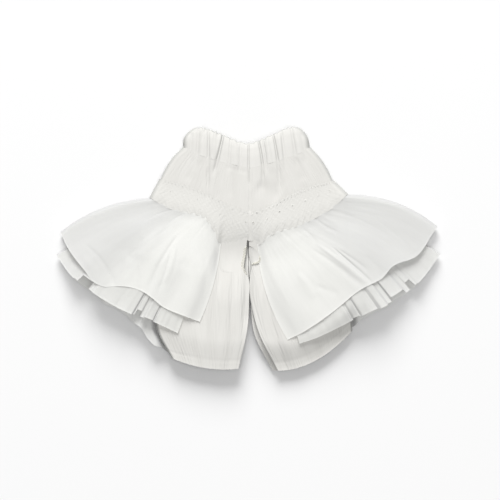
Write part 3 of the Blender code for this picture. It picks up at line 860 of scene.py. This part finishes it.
# The pleats as pressed, by their share of the way across: how high each stands, how far in mm its hem
# reaches out, and how softly it starts and ends
MID_PLEATS = side_tables(
    "start end height reach starts ends",
    right=(
        (-0.06, 0.265, 0.9, 0, 0.02, 0.02),
        (0.255, 0.355, 0.66, -0.4, 0.018, 0.03),
        (0.36, 0.415, 0.42, -2.4, 0.02, 0.02),
        (0.408, 0.745, 0.85, 0.2, 0.018, 0.025),
        (0.75, 0.86, 0.42, -3.2, 0.02, 0.06),
        (0.83, 1.04, 0.55, 0.3, 0.05, 0.02),
    ),
    left=(
        (-0.06, 0.405, 0.8, 0, 0.02, 0.02),
        (0.4, 0.458, 0.45, -0.6, 0.02, 0.012),
        (0.45, 0.57, 0.66, 0, 0.02, 0.03),
        (0.562, 0.645, 0.95, 0.5, 0.03, 0.018),
        (0.665, 0.775, 0.9, -1.8, 0.018, 0.016),
        (0.785, 0.835, 0.3, -3.4, 0.02, 0.02),
        (0.832, 1.04, 0.55, 0.3, 0.015, 0.02),
    ),
)
# Smaller folds within them: place, height and width across
MID_FOLDS = side_tables(
    "a height width",
    right=(
        (0.055, 0.35, 0.016),
        (0.125, -0.3, 0.02),
        (0.2, 0.3, 0.018),
        (0.31, -0.25, 0.014),
        (0.47, 0.35, 0.018),
        (0.54, -0.45, 0.016),
        (0.61, 0.3, 0.022),
        (0.68, -0.3, 0.016),
        (0.9, 0.25, 0.02),
        (0.945, -0.2, 0.014),
    ),
    left=(
        (0.06, -0.3, 0.016),
        (0.13, 0.25, 0.022),
        (0.225, -0.35, 0.018),
        (0.32, 0.3, 0.024),
        (0.5, -0.25, 0.016),
        (0.6, 0.25, 0.014),
        (0.705, -0.35, 0.014),
        (0.745, 0.3, 0.014),
        (0.9, 0.3, 0.02),
        (0.95, -0.2, 0.016),
    ),
)
PLEAT_HEIGHT, PLEAT_AT_SEAM, FOLD_SHARE = 0.8, 0.02, 0.35
HEM_RISE = 2.6
# How much longer than the front the back hangs, as a share of the strip
BACK_REACH = side_tables(
    "a reach",
    right=((0, 0.19), (0.15, 0.19), (0.3, 0.12), (0.42, 0.04), (0.6, 0.02), (1, 0)),
    left=((0, 0.10), (0.12, 0.13), (0.25, 0.12), (0.38, 0.05), (0.6, 0.02), (1, 0)),
)
ORGANZA_COLUMNS, ORGANZA_ROWS = (330, 100), 80
# Fine ribs: height, seed, pitch and length
MID_RIBS = {"left": (0.012, 31, 3.0, 24.0), "right": (0.012, 32, 3.0, 24.0)}
# The second value is the painted shade grey for organza that tilts away from level.
THROUGH_SHARE, PAINTED_SHADE_ORGANZA = 0.14, (0.54, 0.54, 0.54, 1)
RAW_LIP, RAW_START = 0.03, 0.985


def ray(side, hem, span, a, v):
    """A point of an organza layer: a from the inner edge to the side fold, v from the seam to the hem."""
    first, last = span
    start = lace_line(side, "low", first + (last - first) * a)
    end = table_line(a, hem, "a", "x", "y")
    run = end - start
    start = start + RUFFLE_SEAM * unit(run)
    across = SIGN[side] * np.stack([-run[..., 1], run[..., 0]], axis=-1)
    swell = arch(v) * curve(a, hem["a"], hem["bow"])
    return start + (end - start) * np.asarray(v)[..., None] + unit(across) * swell[..., None]


def off_leg(side, x, y, run):
    """Nothing on the leg, and one from run mm beyond its outer side."""
    rows = LEG_ROWS[side]
    side_y = [-LACE[side]["low_y"][-1], *-rows["out_y"]]
    side_x = [LACE[side]["low_x"][-1], *rows["out_x"]]
    return smooth(SIGN[side] * (x - np.interp(-y, side_y, side_x)) / run)


def layer_base(side, x, y):
    """The lowest that a layer's front can lie: on the leg, and off the leg on its own back."""
    off = off_leg(side, x, y, OFF_LEG)
    leg = LEG_FRONT_RISE[side] * down_leg(side, x, y) - LAYER_DROP * hem_drop(side, x, y)
    on_leg = GAUZE_FRONT_Z + leg + belly(x, y) + LAYER_LIFT
    return on_leg + (MID_BASE_Z - on_leg) * off


def pleat(side, a):
    """How high the lower layer's pleats stand at a, and how far their hem reaches."""
    height, reach = np.zeros(np.shape(a)), np.zeros(np.shape(a))
    for start, end, high, far, starts, ends in zip(*MID_PLEATS[side].values()):
        pressed = smooth((a - start) / starts) * smooth((end - a) / ends)
        height = np.maximum(height, high * pressed)
        reach = np.where(pressed > 0.5, far, reach)
    for place, high, width in zip(*MID_FOLDS[side].values()):
        height = height + high * FOLD_SHARE * np.exp(-(((a - place) / width) ** 2))
    return height, reach


def raw_edge(v):
    """The raw hem's small upward curl."""
    return RAW_LIP * smooth((v - RAW_START) / (1 - RAW_START))


def sheer_cover(tree, given):
    """How much of the light the threads stop: more along the raw edge and in thick threads."""
    from_hem = maths(tree, "DIVIDE", cut_axes(tree)[2], 0.7)
    edge = maths(tree, "SUBTRACT", 1.0, maths(tree, "MINIMUM", from_hem, 1.0))
    extra = maths(tree, "MULTIPLY", edge, given["Edge"])
    thick = stretched_noise(tree, across=5.0, down=30.0, seed=4.0)
    uneven = maths(tree, "MULTIPLY_ADD", thick, 0.12, -0.06)
    return maths(tree, "ADD", maths(tree, "ADD", given["Cover"], extra), uneven)


def share_round_side(tree, given):
    """How far round the side a point lies: nothing over the leg, one well beyond it, where painted shade
    greys the organza.
    """
    past = maths(tree, "SUBTRACT", cut_axes(tree)[0], given["Start"])
    share = maths(tree, "MAXIMUM", maths(tree, "DIVIDE", past, given["Length"]), 0.0)
    return maths(tree, "MINIMUM", share, 1.0)


sheer = make_group("sheer", "Cover", sheer_cover, Cover=0.6, Edge=0.3)
side_share = make_group("side_share", "Share", share_round_side, Start=20.0, Length=20.0)


def make_organza(name, white, shade, beyond_leg_painted_shade, open_share):
    """Sheer organza: fine crisp threads with light showing between them, denser where it turns away."""
    material, tree, surface = start_material(name, roughness=0.75, sheen=0.1, gloss=0.15)
    colour = place_group(tree, cloudy, White=(*white, 1), Shade=(*shade, 1), Patch=8.0, Length=40.0)
    # Beyond the leg the colour greys: painted shade, for the table in the layers' shadow seen through the
    # sheer cloth.
    painted_shade_share = place_group(tree, side_share, Start=24.0, Length=16.0)
    colour_with_painted_shade = mix_colours(tree, painted_shade_share, colour, (*beyond_leg_painted_shade, 1))
    tint_with_painted_shade(tree, surface, colour_with_painted_shade, PAINTED_SHADE_ORGANZA)
    threads = place_group(tree, weave, Pitch=0.22, Slub=0.8)
    lines = place_group(tree, crinkle, Width=1.4, Length=12.0, Seed=5.0)
    bump_from(tree, surface, maths(tree, "MULTIPLY_ADD", threads, 0.05, lines), depth=0.035)
    veil = place_group(tree, sheer, Cover=1.0 - open_share, Edge=0.08)
    turned = tree.nodes.new("ShaderNodeLayerWeight")
    turned.inputs["Blend"].default_value = 0.25
    thicker = maths(tree, "MULTIPLY_ADD", turned.outputs["Facing"], 0.5, veil)
    tree.links.new(maths(tree, "MINIMUM", thicker, 1.0), surface.inputs["Alpha"])
    lit_through = tree.nodes.new("ShaderNodeBsdfTranslucent")
    lit_through.inputs["Color"].default_value = (*white, 1)
    both = tree.nodes.new("ShaderNodeMixShader")
    both.inputs[0].default_value = THROUGH_SHARE
    tree.links.new(surface.outputs[0], both.inputs[1])
    tree.links.new(lit_through.outputs[0], both.inputs[2])
    tree.links.new(both.outputs[0], tree.nodes["Material Output"].inputs["Surface"])
    return material


# The same organza as the upper layer, with its white and shade a little darker: painted shade under the upper
# layer.
organza_lower_painted_shade = make_organza(
    "organza_lower_painted_shade",
    white=(0.94, 0.94, 0.91),
    shade=(0.85, 0.85, 0.82),
    beyond_leg_painted_shade=(0.80, 0.80, 0.78),
    open_share=0.26,
)


def mid_row(side, v):
    """One row of the lower layer, v of the way down: its line, its heights and its longer back's line."""
    hem, span = MID_HEM[side], MID_SEAM_SPAN[side]
    down = (v - MID_START) / (1 - MID_START)
    at_hem = smooth((down - 0.3) / 0.7)
    deep = PLEAT_AT_SEAM + (1 - PLEAT_AT_SEAM) * down

    def front_line(a):
        _, reach = pleat(side, a)
        return ray(side, hem, span, a, v + reach / STRIP_LENGTH * at_hem)

    def front(a, x, y):
        height, _ = pleat(side, a)
        risen = PLEAT_HEIGHT * deep * height * smooth(a / 0.20) + HEM_RISE * down * smooth((a - 0.15) / 0.5)
        lifted = layer_base(side, x, y) - MID_SUNK + MID_LIFT * down + risen + raw_edge(v)
        return MID_NOSE_Z + (lifted - MID_NOSE_Z) * smooth((1 - a) / MID_SIDE[side])

    def back_line(a):
        far = curve(a, BACK_REACH[side]["a"], BACK_REACH[side]["reach"])
        wave = 0.008 * np.sin(31.0 * a + 1.3) + 0.003 * np.sin(53.0 * a)
        return ray(side, hem, span, a, v + (far + wave) * at_hem * smooth((1 - a) / 0.1))

    def back(a, x, y):
        wave = 0.5 + 0.5 * np.sin(44.0 * a + np.sin(17.0 * a))
        off = off_leg(side, x, y, BACK_OFF_LEG)
        sunk = BACK_SUNK * hem_drop(side, x, y) * (1 - off)
        risen = BACK_WAVE * wave + (BACK_RISE + 0.3 * wave) * off
        return MID_BACK_Z - sunk + risen * down * smooth((1 - a) / 0.6)

    return front_line, front, back, back_line


def add_mid(side):
    shares = np.linspace(MID_START, 1.0, ORGANZA_ROWS)
    rows, cut = wrap_strip(shares, *ORGANZA_COLUMNS, lambda v: mid_row(side, v), *MID_RIBS[side])
    node = f"ruffle_mid_{side}"
    layer = lay_cloth(f"layer_{node}", rows, cut, organza_lower_painted_shade)
    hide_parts(node)


for side in SIDES:
    add_mid(side)


# The upper organza layers
# The same organza again over the lower layer, gathered under the lace in small puckers and lying smoother,
# with a few long folds that fan out from the seam. Its hem and its inner edge are raw cut.
TOP_HEM = side_tables(
    "a x y bow",
    right=(
        (0, -19.4, -29.4, -1.2),
        (0.113, -27, -26.6, -0.2),
        (0.229, -34.6, -23.2, 0.4),
        (0.304, -38.6, -19.8, 0.6),
        (0.368, -42.2, -17.4, 0.8),
        (0.444, -47.4, -15.6, 1.2),
        (0.517, -52.6, -15.2, 1.6),
        (0.591, -57.6, -15.4, 2),
        (0.659, -62, -13.4, 2.3),
        (0.737, -65.2, -9.2, 2.6),
        (0.814, -68.8, -4.8, 2.8),
        (0.906, -72.4, 0.4, 3),
        (1, -75.2, 6.3, 3),
    ),
    left=(
        (0, 15.6, -36.6, -2.4),
        (0.07, 20.6, -34.2, -1.6),
        (0.143, 25.6, -31.2, -1),
        (0.237, 31.6, -27, -0.4),
        (0.35, 38.5, -21.5, 0.2),
        (0.395, 41.4, -19, 0.5),
        (0.46, 45.4, -16.2, 0.8),
        (0.53, 49.8, -14, 1.3),
        (0.57, 52.6, -12.6, 1.6),
        (0.62, 55, -10.2, 1.8),
        (0.665, 57.2, -7.6, 2),
        (0.715, 60.6, -5.8, 2.4),
        (0.765, 64, -4.8, 2.7),
        (0.815, 67.2, -3.2, 3),
        (0.875, 70.2, 0.3, 3.2),
        (0.935, 72.6, 4.2, 3.3),
        (1, 75.6, 8.5, 3.4),
    ),
)
TOP_NOSE_Z, TOP_BACK_Z, TOP_LEAST_Z = (5.0, 3.5), 0.5, 0.08
TOP_SIDE = {"right": 0.30, "left": 0.40}
TOP_LIFT, TOP_SHARE, TOP_TUCK = 0.26, 0.80, 0.035
EDGE_LIFT, TOP_SUNK, TOP_PLEAT_SHARE = 0.26, 0.18, 0.62
TOP_CREASES = side_tables(
    CREASE,
    right=(
        (-28, 15.8, -42.6, 9.8, -1, -0.08, 0.55),
        (-27, 18.6, -39.5, 15.6, -0.4, 0.08, 1.4),
        (-25, 13.6, -33, 8.6, -0.8, -0.07, 0.55),
        (-26.6, 7, -40.6, -18.5, -1.3, -0.15, 1),
        (-30.6, 2.4, -36.4, -18, 0.9, -0.09, 0.6),
        (-29, 2, -34, -15, 0.9, 0.12, 1),
        (-33.8, 10, -44.4, -5.6, 0, 0.14, 2.3),
        (-42, 5, -47.6, -6, 0, -0.11, 1.6),
        (-66.8, 2.6, -52.6, -17.6, 2.3, -0.13, 0.95),
        (-68.6, -1, -57.6, -17, 1.4, 0.14, 2),
        (-73, 6, -52, 14, -0.8, -0.06, 0.8),
        (-28.4, -5, -19, -10, 0, -0.09, 2.3),
        (-17.6, 0, -17.6, -25, 0.6, -0.06, 1.6),
        (-20.6, 8, -24, -26, 0.8, 0.09, 2.6),
        (-46, 12, -57, 2, -0.8, 0.08, 1.8),
        (-49, -1, -51, -17.6, 0.4, 0.11, 1.6),
        (-44, -6, -45, -18.6, 0, -0.1, 1.2),
    ),
    left=(
        (25.6, 15.4, 43.8, 11.3, 1.3, -0.1, 0.55),
        (43, 11.9, 57.6, 3.8, 0.3, -0.09, 0.75),
        (30, 17.6, 43.6, 12.8, 0.8, 0.08, 0.85),
        (24.2, 14.2, 36.6, 6, -1, -0.14, 0.6),
        (26.4, 14.6, 36, 9.2, 0, 0.09, 0.85),
        (32.8, 0.8, 50.8, -15.4, 0.2, -0.25, 0.62),
        (26.4, 2.2, 49.6, -15.4, 0.2, 0.18, 1.05),
        (24.2, 0.4, 47.4, -16.8, 0.5, -0.13, 1.1),
        (21.8, 8, 28, 1.6, 0, -0.1, 0.75),
        (35, 0, 48.4, -9.8, 0.3, -0.11, 0.7),
        (19.4, -9.4, 27, -20.4, 0, 0.11, 1.6),
        (26.8, -14.8, 36.4, -19, 0, -0.09, 1.5),
        (37, 18.8, 53.6, 13.2, 0.5, -0.08, 0.65),
        (50.6, 11.6, 66.4, -0.8, 0.3, -0.11, 0.85),
        (53.4, 11.4, 61.6, 6.4, 0, 0.09, 0.85),
        (17, -2, 27, -30, 0, 0.07, 3),
        (50, 4, 61, -7.6, 0.4, 0.1, 1.9),
        (46, -2, 55.6, -11.8, 0, -0.09, 1.3),
    ),
)
LAYER_BACK_CREASE = 1.5
PUCKERS, PUCKER_HEIGHT, PUCKER_SEED = 12, 0.05, {"left": 41, "right": 42}
# Broad waves toward the hem: height, then seed, pitch and length
FLARE_HEIGHT, FLARE = 0.06, {"left": (51, 15.0, 60.0), "right": (52, 15.0, 60.0)}
TOP_RIBS = {"left": (0.006, 61, 3.4, 26.0), "right": (0.006, 62, 3.4, 26.0)}
organza_upper = make_organza(
    "organza_upper",
    white=(0.98, 0.98, 0.95),
    shade=(0.92, 0.92, 0.89),
    beyond_leg_painted_shade=(0.78, 0.78, 0.765),
    open_share=0.20,
)


def puckers(side, a, v):
    """Small gathers at the seam, each of its own height and length."""
    draw = np.random.default_rng(PUCKER_SEED[side])
    places = (np.arange(PUCKERS) + draw.uniform(0.2, 0.8, PUCKERS)) / PUCKERS
    heights = draw.uniform(0.35, 1.0, PUCKERS)
    lengths = draw.uniform(0.10, 0.42, PUCKERS)
    widths = draw.uniform(0.30, 0.48, PUCKERS) / PUCKERS
    total = np.zeros(np.broadcast(a, v).shape)
    for place, height, length, width in zip(places, heights, lengths, widths):
        spread = width * (1 + 0.8 * v)
        total = total + height * np.exp(-(((a - place) / spread) ** 2)) * (1 - smooth(v / length))
    return PUCKER_HEIGHT * total


def top_row(side, v):
    """One row of the upper layer, v of the way down: its line, and how high its front and its back lie."""
    down = np.clip((v - MID_START) / (1 - MID_START), 0, 1)
    room = PLEAT_HEIGHT * (PLEAT_AT_SEAM + (1 - PLEAT_AT_SEAM) * down) * smooth((v - 0.02) / 0.36)
    nose = TOP_NOSE_Z[0] + (TOP_NOSE_Z[1] - TOP_NOSE_Z[0]) * v

    def line(a):
        return ray(side, TOP_HEM[side], TOP_SEAM_SPAN[side], a, v - TOP_TUCK * (1 - smooth(v / 0.08)))

    def front(a, x, y):
        flare = FLARE_HEIGHT * ribs(70.0 * a, 40.0 * v, *FLARE[side]) * smooth((v - 0.3) / 0.7)
        folds = creases(TOP_CREASES[side], x, y) + flare + puckers(side, a, v)
        lip = raw_edge(v) + RAW_LIP * smooth((0.012 - a) / 0.012)
        off_edge = smooth(a / 0.10)
        sunk = (1 - off_edge) * (LAYER_LIFT - EDGE_LIFT) + TOP_SUNK * off_edge * (1 - smooth(v / 0.15))
        risen = (TOP_PLEAT_SHARE * room + TOP_LIFT * v) * smooth(a / 0.14)
        risen = risen + TOP_SHARE * HEM_RISE * v * smooth((a - 0.12) / 0.48)
        lifted = layer_base(side, x, y) - sunk + risen + folds + lip
        return nose + (lifted - nose) * smooth((1 - a) / TOP_SIDE[side])

    def back(a, x, y):
        return TOP_BACK_Z - LAYER_BACK_CREASE * creases(TOP_CREASES[OTHER[side]], -x, y)

    return line, front, back


def add_top(side):
    shares = np.linspace(0.0, 1.0, ORGANZA_ROWS)
    rows, cut = wrap_strip(shares, *ORGANZA_COLUMNS, lambda v: top_row(side, v), *TOP_RIBS[side])
    rows[..., 2] = np.maximum(rows[..., 2], TOP_LEAST_Z)
    node = f"ruffle_top_{side}"
    layer = lay_cloth(f"layer_{node}", rows, cut, organza_upper)
    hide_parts(node)


for side in SIDES:
    add_top(side)


# The waist casing
# A strip of the same gauze folded double over elastic and stitched down, so it draws up into uneven gathers.
# It is sewn to the top of the panels all round.
CASING_TOP = table(
    "t x y",
    (-1, -21.2, 48.2),
    (-0.86, -18.6, 48.3),
    (-0.5, -12.2, 46.3),
    (0, -0.2, 42.1),
    (0.42, 9.6, 45.6),
    (0.86, 17.2, 48.6),
    (1, 20, 48.5),
)
CASING_FRONT_Z, CASING_BACK_Z, CASING_TOP_CROWN = 4.44, 0.55, 0.85
CASING_BULGE = {"right": 2.2, "left": 1.5}
CASING_PUFF, CASING_GROOVE, CASING_GATHER, CASING_FOLD = 0.20, 0.03, 1.5, 0.8
# The top edge's small bumps: height, then seed, pitch and length
CASING_EDGE_BUMP, CASING_EDGE = 0.22, (71, 2.6, 90.0)
CASING_BACK_GATHERS, CASING_BACK_GATHER = 12, 0.22
CASING_COLUMNS, CASING_BACK_COLUMNS, CASING_ROWS, CASING_DOWN_INSIDE = 130, 90, 46, 0.75
CASING_FULLNESS, CASING_FLAT = 1.4, (0.110, 0.018)
cotton_casing = make_cotton(
    "gathered_gauze",
    white=(0.77, 0.76, 0.73),
    shade=(0.68, 0.67, 0.64),
    crinkle_width=0.5,
    crinkle_length=5.0,
    depth=0.08,
)


def casing_row(q):
    """One ring of the casing: q up to 1 climbs the outside, and more goes down the inside."""
    share = q if q <= 1 else 2 - q
    inner = CASING_FOLD * smooth((q - 0.93) / 0.14)
    halves = {}
    for side in SIDES:

        def line(a):
            low = waist_line(side, a) + [0, 0.3]
            t = SIGN[side] * a
            top = table_line(t, CASING_TOP, "t", "x", "y")
            bumps = CASING_EDGE_BUMP * ribs(30.0 * t, 0 * t, *CASING_EDGE) * share**3
            bulge = arch(share**1.3) * CASING_BULGE[side] * a**2
            shift = np.stack([SIGN[side] * bulge, bumps - 0.2 * share], axis=-1)
            return low * (1 - share) + top * share + shift

        def front(a, x, y):
            crown = belly(x, y) * (1 + (CASING_TOP_CROWN - 1) * share)
            puff = CASING_PUFF * smooth(share / 0.55) * smooth((1 - share) / 0.25)
            groove = -CASING_GROOVE * (1 - smooth(share / 0.16))
            pinch = CASING_GATHER * creases(GATHERS, x, y)
            ease = smooth((1 - a) / 0.08)
            return CASING_FRONT_Z + crown + (puff + groove + pinch) * ease - inner

        def back(a, x, y):
            wave = 1 - np.cos(math.pi * CASING_BACK_GATHERS * a + 0.8 * np.sin(9 * a))
            return CASING_BACK_Z + CASING_BACK_GATHER * wave * smooth((1 - a) / 0.1) + inner * 0.6

        out = np.array([SIGN[side], 0.0])
        spans = (CASING_COLUMNS, SIDE_TURNS, CASING_BACK_COLUMNS)
        halves[side], _, _ = section(line, inner * 0.7, front, back, *spans, out=out)
    return np.vstack([halves["left"][:-1], halves["right"][::-1][:-1]])


casing_rows = np.array([casing_row(q) for q in np.linspace(0, 1 + CASING_DOWN_INSIDE, CASING_ROWS)])
casing_cut = cut_places(casing_rows, CASING_FULLNESS)
casing = lay_cloth("casing_gathered", casing_rows, casing_cut, cotton_casing, closed=True)
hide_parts("waistband")


# The centre front seam
# The two fronts and the two lace bands are joined along the middle. The allowance under the seam, pressed to
# the wearer's left, lifts it into a narrow ridge beside the stitched line.
SEAM_LINE_X, SEAM_WIDTH, SEAM_HEIGHT, SEAM_SUNK = -0.15, 2.1, 0.12, 0.05
SEAM_TOP_Y, SEAM_LACE_Y, SEAM_END_Y, LACE_DEPTH = 31.4, 14.0, 2.8, 10.8
SEAM_ROWS, SEAM_COLUMNS = 120, 17


def lay_gauze(name, lines):
    """A small piece of gauze through lines that run along it, and its rows."""
    rows = np.array(lines).transpose(1, 0, 2)
    lay_cloth(name, rows, cut_places(rows), gauze)
    return rows


seam_y = np.linspace(SEAM_TOP_Y, SEAM_END_Y, SEAM_ROWS)
seam_x = SEAM_LINE_X + 0.10 * np.sin(0.5 * seam_y) + 0.04 * np.sin(1.7 * seam_y)
lace_share = smooth((SEAM_LACE_Y - seam_y) / LACE_DEPTH)
over_lace = LACE_TOP_LIFT + (LACE_BARE_LIFT - LACE_TOP_LIFT) * lace_share
over_lace = over_lace * smooth((SEAM_LACE_Y + 1.0 - seam_y) / 1.6)
seam_lines = []
for share in np.linspace(0, 1, SEAM_COLUMNS):
    x = seam_x + share * SEAM_WIDTH
    ridge = SEAM_HEIGHT * np.sin(math.pi * share**0.7) * (1 + 0.15 * np.sin(0.9 * seam_y))
    z = gauze_front("left", x, seam_y) + over_lace + ridge - SEAM_SUNK
    seam_lines.append(np.stack([x, seam_y, z], axis=-1))
lay_gauze("centre_front_seam", seam_lines)


# The overlocked edges at the crotch
# The inner leg seams end in a small open slot under the lace, overlocked in cream thread. The right
# allowance lies along its edge, and the left one turns out as a small rounded flap with its loops showing.
OVERLOCK_THREAD, OVERLOCK_PITCH, OVERLOCK_STEPS = 0.11, 1.20, 12
LOOPS_LIE, RUNS_LIE, RUNS = 0.10, 0.04, (0.0, 0.35, 0.7, 1.0)
EDGE_WIDTH, EDGE_SPAN, EDGE_RISE = 1.0, (0.7, -10.5), 0.08
FLAP_SPAN, FLAP_WIDTH, FLAP_LIFT, FLAP_LOOPS = (0.9, -6.6), 4.3, 0.32, 0.7
FLAP_ROWS, FLAP_COLUMNS = 40, 16
cream_thread = make_thread("cream_thread", (0.80, 0.785, 0.70))


def inner_edge(side, span):
    """The front leg's inner edge between two heights, from the top down."""
    edge = panels[side, "front"][:, 0]
    y = np.linspace(*span, FLAP_ROWS)
    return np.stack([np.interp(-y, -edge[:, 1], edge[:, 0]), y], axis=-1)


def overlock(name, path, inward, width):
    """Thread over a cut edge: straight runs along it, crossed by loops that swing inward from it."""
    along = distance_along(path)
    steps = np.arange(0, along[-1], OVERLOCK_PITCH / OVERLOCK_STEPS)
    spine, across = (
        np.stack([np.interp(steps, along, line[:, k]) for k in range(3)], axis=1) for line in (path, inward)
    )
    swing = 0.5 - 0.5 * np.cos(2 * math.pi * steps / OVERLOCK_PITCH)
    held = width * smooth(steps / OVERLOCK_PITCH) * smooth((along[-1] - steps) / OVERLOCK_PITCH)
    up = np.broadcast_to([0.0, 0.0, 1.0], spine.shape)
    lines = [spine + (held * swing)[:, None] * across + LOOPS_LIE * up]
    lines += [spine + (held * share)[:, None] * across + RUNS_LIE * up for share in RUNS]
    tubes(name, [(line, up) for line in lines], OVERLOCK_THREAD, cream_thread)


edge = inner_edge("right", EDGE_SPAN)
path = np.column_stack([edge, gauze_front("right", edge[:, 0], edge[:, 1]) + EDGE_RISE])
overlock("overlock_right", path, np.broadcast_to([-1.0, 0.0, 0.0], path.shape), EDGE_WIDTH)

flap_edge = inner_edge("left", FLAP_SPAN)
down = np.linspace(0, 1, FLAP_ROWS)
reach = FLAP_WIDTH * np.sqrt(np.clip(1 - np.abs(2 * down**1.5 - 1) ** 2.4, 0, 1))
flap_lines = []
for share in np.linspace(0, 1, FLAP_COLUMNS):
    x, y = flap_edge[:, 0] + 0.05 + reach * share, flap_edge[:, 1]
    rise = FLAP_LIFT * (0.3 + share) * (1 - 0.3 * down)
    flap_lines.append(np.stack([x, y, gauze_front("left", x, y) + rise], axis=-1))
rim = lay_gauze("turned_allowance_left", flap_lines)[FLAP_ROWS // 2 :, -1]
overlock("overlock_left", rim, np.cross(unit(np.gradient(rim, axis=0)), [0.0, 0.0, 1.0]), FLAP_LOOPS)
